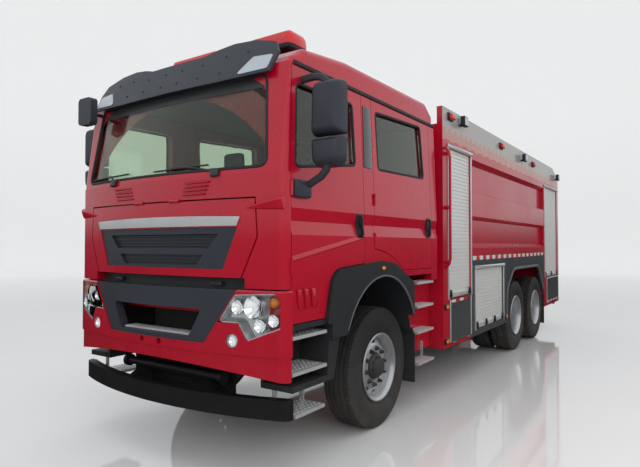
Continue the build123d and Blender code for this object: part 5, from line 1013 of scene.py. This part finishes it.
back_rails = [strip_box(-0.650, -0.620, 1.115, 2.870, on_rear, 0.010),
              strip_box(0.620, 0.650, 1.115, 2.870, on_rear, 0.010),
              strip_box(-0.660, 0.660, 2.866, 2.912, on_rear, 0.024, 0.010),
              strip_box(-0.610, 0.610, 1.130, 1.200, on_rear, 0.016, 0.006, -0.020)]
piece("rear_shutter_rails", join(back_rails), aluminium)
back_catches = [strip_box(x - 0.035, x + 0.035, 1.142, 1.188, on_rear, 0.012, 0.005, -0.004, 0.010)
                for x in (-0.5, 0.0, 0.5)]
piece("rear_shutter_catches", join(back_catches), handle_black)

# Flaps and tape
# Fold-down flaps edged with aluminium strips; squares of white and red reflective tape mark the truck's side.
TAPE_SQUARES, TAPE_PITCH = 15, 0.285
tape_white = finish("tape_white", (0.56, 0.55, 0.54), (0.48, 0.47, 0.46), (0.3, 0.4), patch=8, lift=0.2,
                    speckle=800)
tape_red = finish("tape_red", (0.52, 0.012, 0.016), (0.44, 0.008, 0.012), (0.3, 0.4), patch=8, lift=0.2,
                  speckle=800)
for flap, y0, y1, z0, z1, row in (("front", -1.634, -0.876, 0.562, 1.068, 1.030),
                                  ("rear", 3.658, 4.822, 0.552, 1.068, 0.572)):
    frame_bars = [strip_box(y0, y0 + 0.028, z0, z1, on_body, 0.005),
                  strip_box(y1 - 0.028, y1, z0, z1, on_body, 0.005)]
    if flap == "rear":
        frame_bars.append(strip_box(y0 + 0.03, y1 - 0.03, z1 - 0.028, z1, on_body, 0.005))
    handed(f"flap_strips_{flap}", join(frame_bars), aluminium, f"flap_{flap}")
    starts = np.arange(y0 + 0.06, y1 - 0.18, 0.27)
    for shade, first, last, tape, slot in (("white", 0.0, 0.13, tape_white, "grey_plastic"),
                                           ("red", 0.135, 0.25, tape_red, "red_lens")):
        squares = [strip_box(y + first, y + last, row, row + 0.034, on_body, 0.002, 0.0008) for y in starts]
        handed(f"flap_tape_{shade}_{flap}", join(squares), tape, f"flap_{flap}")
whites = strip_box(0.0, 0.150, 1.517, 1.573, on_body, 0.0022, 0.0008)
reds = strip_box(0.153, 0.282, 1.517, 1.573, on_body, 0.0022, 0.0008)
row = np.zeros((TAPE_SQUARES, 3))
row[:, 1] = -0.815 + TAPE_PITCH * np.arange(TAPE_SQUARES)
piece("side_tape_white", both(repeat(whites, row)), tape_white)
piece("side_tape_red", both(repeat(reds, row)), tape_red)

# Body fittings
# Bent tube grab rail on three brackets at the body's front edge, painted red with it.
# Small amber markers in black boxes are screwed on along the foot.
MARKERS = [(-1.765, 1.000), (-1.765, 0.600), (0.700, 0.620)]
RAIL_FOOT, RAIL_HEAD = 1.44, 2.86
rail_z = np.linspace(RAIL_FOOT, RAIL_HEAD, 24)
bend = np.clip(np.minimum(rail_z - RAIL_FOOT, RAIL_HEAD - rail_z) / 0.10, 0, 1) ** 0.5
rail = tube(spread(BODY_X + 0.006 + 0.058 * bend, -1.782, rail_z), 0.016, (0, 1, 0), 12)
brackets = [strip_box(-1.806, -1.758, z - 0.022, z + 0.022, on_body, 0.058, 0.006, -0.002, 0.012)
            for z in (1.52, 2.15, 2.78)]
piece("grab_rails", both(join([rail] + brackets)), red_paint)
boxes = blocks(MARKERS, 0.05, -0.035, 0.035, 0.022, 0.008, -0.002, 0.012)
spots = blocks(MARKERS, 0.034, -0.020, 0.020, 0.012, 0.005, 0.018, 0.010)
piece("marker_boxes", both(join(boxes)), handle_black)
piece("marker_lenses", both(join(spots)), amber_lens)

# Beacons and floodlights
# Red flashers in black bases, square floodlights on brackets, and tail lamps with three lenses each.
BEACONS = [(-1.616, 3.239), (0.502, 3.215), (2.526, 3.189)]
FLOODS = [(-1.264, 3.239), (1.733, 3.194), (4.545, 3.150)]
bases = blocks(BEACONS, 0.078, -0.048, 0.048, 0.018, 0.006, -0.002, 0.016)
domes = [slab(rounded(oblong(y - 0.066, y + 0.066, z - 0.036, z + 0.036), 0.02, spacing=0.02), on_body,
              0.040, 0.016, 0.014, fill=2) for y, z in BEACONS]
heads = blocks(FLOODS, 0.068, -0.058, 0.068, 0.056, 0.010, 0.030, 0.014)
arms = blocks(FLOODS, 0.024, -0.050, -0.020, 0.040, 0.004, -0.002)
glasses = blocks(FLOODS, 0.056, -0.046, 0.056, 0.006, 0.002, 0.083, 0.010)
tails = strip_box(0.950, 1.180, 0.640, 0.760, on_rear, 0.030, 0.006, 0.0, 0.016)
made = piece("lamp_housings", both(join(bases + heads + arms + [tails])), black_plastic)
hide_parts("body_lamps")
red_tails, turn_tails, clear_tails = (strip_box(x0, x1, 0.650, 0.750, on_rear, 0.012, 0.005, 0.026, 0.010)
                                      for x0, x1 in ((1.100, 1.172), (1.030, 1.094), (0.958, 1.024)))
piece("beacon_lenses", both(join(domes + [red_tails])), red_lens)
piece("tail_turn_lenses", both(turn_tails), amber_lens)
piece("tail_clear_lenses", both(clear_tails), marker_white)
piece("flood_glasses", both(join(glasses)), marker_white)

# Roof monitor
# Cast swivel and barrel painted in the truck's red, bolted to the roof deck behind the cab.
dress(["monitor_swivel", "monitor_barrel"], red_paint)

# Seats
# Foam cushions under woven dark grey cloth with stitched channels: two single seats ahead and a bench behind.
# They stand on black moulded boxes bolted to the floor, behind a dashboard of the same plastic.
SEAT_X = 0.56
CAB_FLOOR = 1.541
dress(["dashboard"], black_plastic)
seat_cloth = finish("seat_cloth", (0.060, 0.064, 0.074), (0.042, 0.045, 0.052), (0.8, 0.92), lift=0.6,
                    speckle=900, patch=5)


def stuffed(centre, half, channels, lean=0.0, turns=56, rows=28):
    """Cushion: a rounded block from powers of sines and cosines, its broad face crowned and pressed in along
    stitched channels, then leaned back about X."""
    u = np.linspace(0, 2 * np.pi, turns, endpoint=False)[None, :]
    v = np.linspace(-np.pi / 2, np.pi / 2, rows)[:, None]
    x = half[0] * np.sign(np.cos(u)) * np.abs(np.cos(u)) ** 0.34 * np.abs(np.cos(v)) ** 0.34
    y = half[1] * np.sign(np.sin(u)) * np.abs(np.sin(u)) ** 0.34 * np.abs(np.cos(v)) ** 0.34
    z = half[2] * np.sign(np.sin(v)) * np.abs(np.sin(v)) ** 0.55 + 0 * u
    for place in channels:
        z = z - 0.014 * np.exp(-(((x - place) / 0.014) ** 2)) * np.clip(z / half[2], 0, 1)
    turn = np.radians(lean)
    return loft(np.stack([centre[0] + x, centre[1] + y * np.cos(turn) - z * np.sin(turn),
                          centre[2] + y * np.sin(turn) + z * np.cos(turn)], -1), caps=False)


single = [stuffed((SEAT_X, -3.665, 1.800), (0.250, 0.262, 0.078), (-0.13, 0.13), -2),
          stuffed((SEAT_X, -3.360, 2.180), (0.235, 0.345, 0.064), (-0.12, 0.12), 97),
          stuffed((SEAT_X, -3.378, 2.628), (0.130, 0.100, 0.048), (), 92)]
bench = []
for x in (-0.69, 0.0, 0.69):
    bench.append(stuffed((x, -2.425, 1.820), (0.340, 0.225, 0.080), (-0.16, 0.16), -2))
    bench.append(stuffed((x, -2.165, 2.240), (0.335, 0.350, 0.066), (-0.16, 0.16), 96))
pedestal = strip_box(SEAT_X - 0.18, SEAT_X + 0.18, -3.855, -3.455, level(CAB_FLOOR), 0.19, 0.01)
made = piece("crew_seats", both(join(single)), seat_cloth, sharp=60)
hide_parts("seats")
made = piece("rear_bench", join(bench), seat_cloth, sharp=60)
bench_box = strip_box(-1.0, 1.0, -2.565, -2.115, level(CAB_FLOOR), 0.205, 0.01)
piece("seat_boxes", join([both(pedestal), bench_box]), black_plastic)

# Cab lining
# Grey moulded headlining and rear panel, clipped in, and a loose black rubber floor mat.
liner = strip_box(-1.080, 1.080, -4.480, -2.070, level(3.062), 0.016, 0.006, 0.0, 0.06)
back_panel = strip_box(-1.090, 1.090, 1.560, 3.030, upright(-2.051), 0.012, 0.004, 0.0, 0.04)
piece("cab_lining", join([liner, back_panel]), card_grey)
mat = strip_box(-1.060, 1.060, -3.980, -2.110, level(CAB_FLOOR - 0.0005), 0.006, 0.002, 0.0, 0.03)
piece("floor_mat", mat, rubber)

# Stage
# Plain pale floor that curves up all round like a studio cove.
FLOOR_FLAT = 24.0
COVE_RADIUS = 9.0
COVE_HEIGHT = 40.0
GLOW_REACH, GLOW_STRENGTH = (7.0, 26.0), 0.22
SPOKES = 96
spoke = np.concatenate([np.linspace(0.0, FLOOR_FLAT, 12)[1:],
                        FLOOR_FLAT + COVE_RADIUS * np.sin(np.linspace(0, np.pi / 2, 14)[1:]),
                        [FLOOR_FLAT + COVE_RADIUS]])
rise = np.concatenate([np.zeros(11), COVE_RADIUS * (1 - np.cos(np.linspace(0, np.pi / 2, 14)[1:])),
                       [COVE_HEIGHT]])
angle = np.linspace(0, 2 * np.pi, SPOKES, endpoint=False)
cove = spread(spoke[:, None] * np.cos(angle), spoke[:, None] * np.sin(angle), rise[:, None])
points, faces = loft(cove, caps=False)
faces.append(list(range(SPOKES))[::-1])
floor_pale = finish("floor_pale", (0.86, 0.86, 0.86), (0.84, 0.84, 0.84), (0.05, 0.08), coat=0.7, patch=0.3)
tree = floor_pale.node_tree
where = tree.nodes.new("ShaderNodeTexCoord")
reach = tree.nodes.new("ShaderNodeVectorMath")
reach.operation = "LENGTH"
tree.links.new(where.outputs["Object"], reach.inputs[0])
shader = tree.nodes["Principled BSDF"]
tree.links.new(ranged(tree, reach.outputs["Value"], GLOW_REACH, (0.0, GLOW_STRENGTH), soft=True),
               shader.inputs["Emission Strength"])
shader.inputs["Emission Color"].default_value = (1, 1, 1, 1)
floor_mesh = bpy.data.meshes.new("studio_floor")
floor_mesh.from_pydata(points.tolist(), [], faces)
floor_mesh.shade_smooth()
floor_mesh.materials.append(floor_pale)
floor = bpy.data.objects.new("studio_floor", floor_mesh)
bpy.context.scene.collection.objects.link(floor)
floor.visible_glossy = False

# Light
# Wide soft boxes over and beside the truck, under a pale sky that alone shows in glossy surfaces.
SKY_COLOUR = (0.95, 0.98, 1.0, 1)
SKY_STRENGTH = (0.02, 0.66)
HORIZON = (0.0, 0.06)
world = bpy.data.worlds.new("studio")
bpy.context.scene.world = world
world.use_nodes = True
tree = world.node_tree
sky_way = tree.nodes.new("ShaderNodeTexCoord")
sky_axes = tree.nodes.new("ShaderNodeSeparateXYZ")
tree.links.new(sky_way.outputs["Generated"], sky_axes.inputs["Vector"])
background = tree.nodes["Background"]
background.inputs["Color"].default_value = SKY_COLOUR
tree.links.new(ranged(tree, sky_axes.outputs["Z"], HORIZON, SKY_STRENGTH, soft=True),
               background.inputs["Strength"])
for label, place, aim, size, power in (
    ("roof_box", (1.0, -2.0, 11.0), (0, -0.5, 1.5), (12, 14), 430),
    ("front_box", (9.0, -13.0, 6.0), (0, -3.5, 1.6), (8, 6), 420),
    ("side_box", (14.0, 2.0, 6.5), (0, 0, 1.6), (12, 6), 240),
):
    lamp = bpy.data.lights.new(label, "AREA")
    lamp.shape = "RECTANGLE"
    lamp.size, lamp.size_y = size
    lamp.energy = power
    holder = bpy.data.objects.new(label, lamp)
    way = np.array(aim, float) - np.array(place, float)
    holder.location = place
    holder.rotation_mode = "QUATERNION"
    holder.rotation_quaternion = Vector(way).to_track_quat("-Z", "Y")
    holder.visible_glossy = False
    bpy.context.scene.collection.objects.link(holder)

# Camera
# Stands at the photographer's place: ahead of the left front corner, at chest height.
CAMERA_AT = (3.554, -7.704, 1.716)
AZIMUTH, TILT = np.radians(34.45), np.radians(1.24)
camera_data = bpy.data.cameras.new("camera")
camera_data.sensor_width = 36
camera_data.lens = 30.01
camera = bpy.data.objects.new("camera", camera_data)
ahead = Vector((-np.sin(AZIMUTH) * np.cos(TILT), np.cos(AZIMUTH) * np.cos(TILT), np.sin(TILT)))
camera.location = CAMERA_AT
camera.rotation_mode = "QUATERNION"
camera.rotation_quaternion = ahead.to_track_quat("-Z", "Y")
bpy.context.scene.collection.objects.link(camera)
bpy.context.scene.camera = camera
bpy.context.scene.view_settings.view_transform = "Standard"
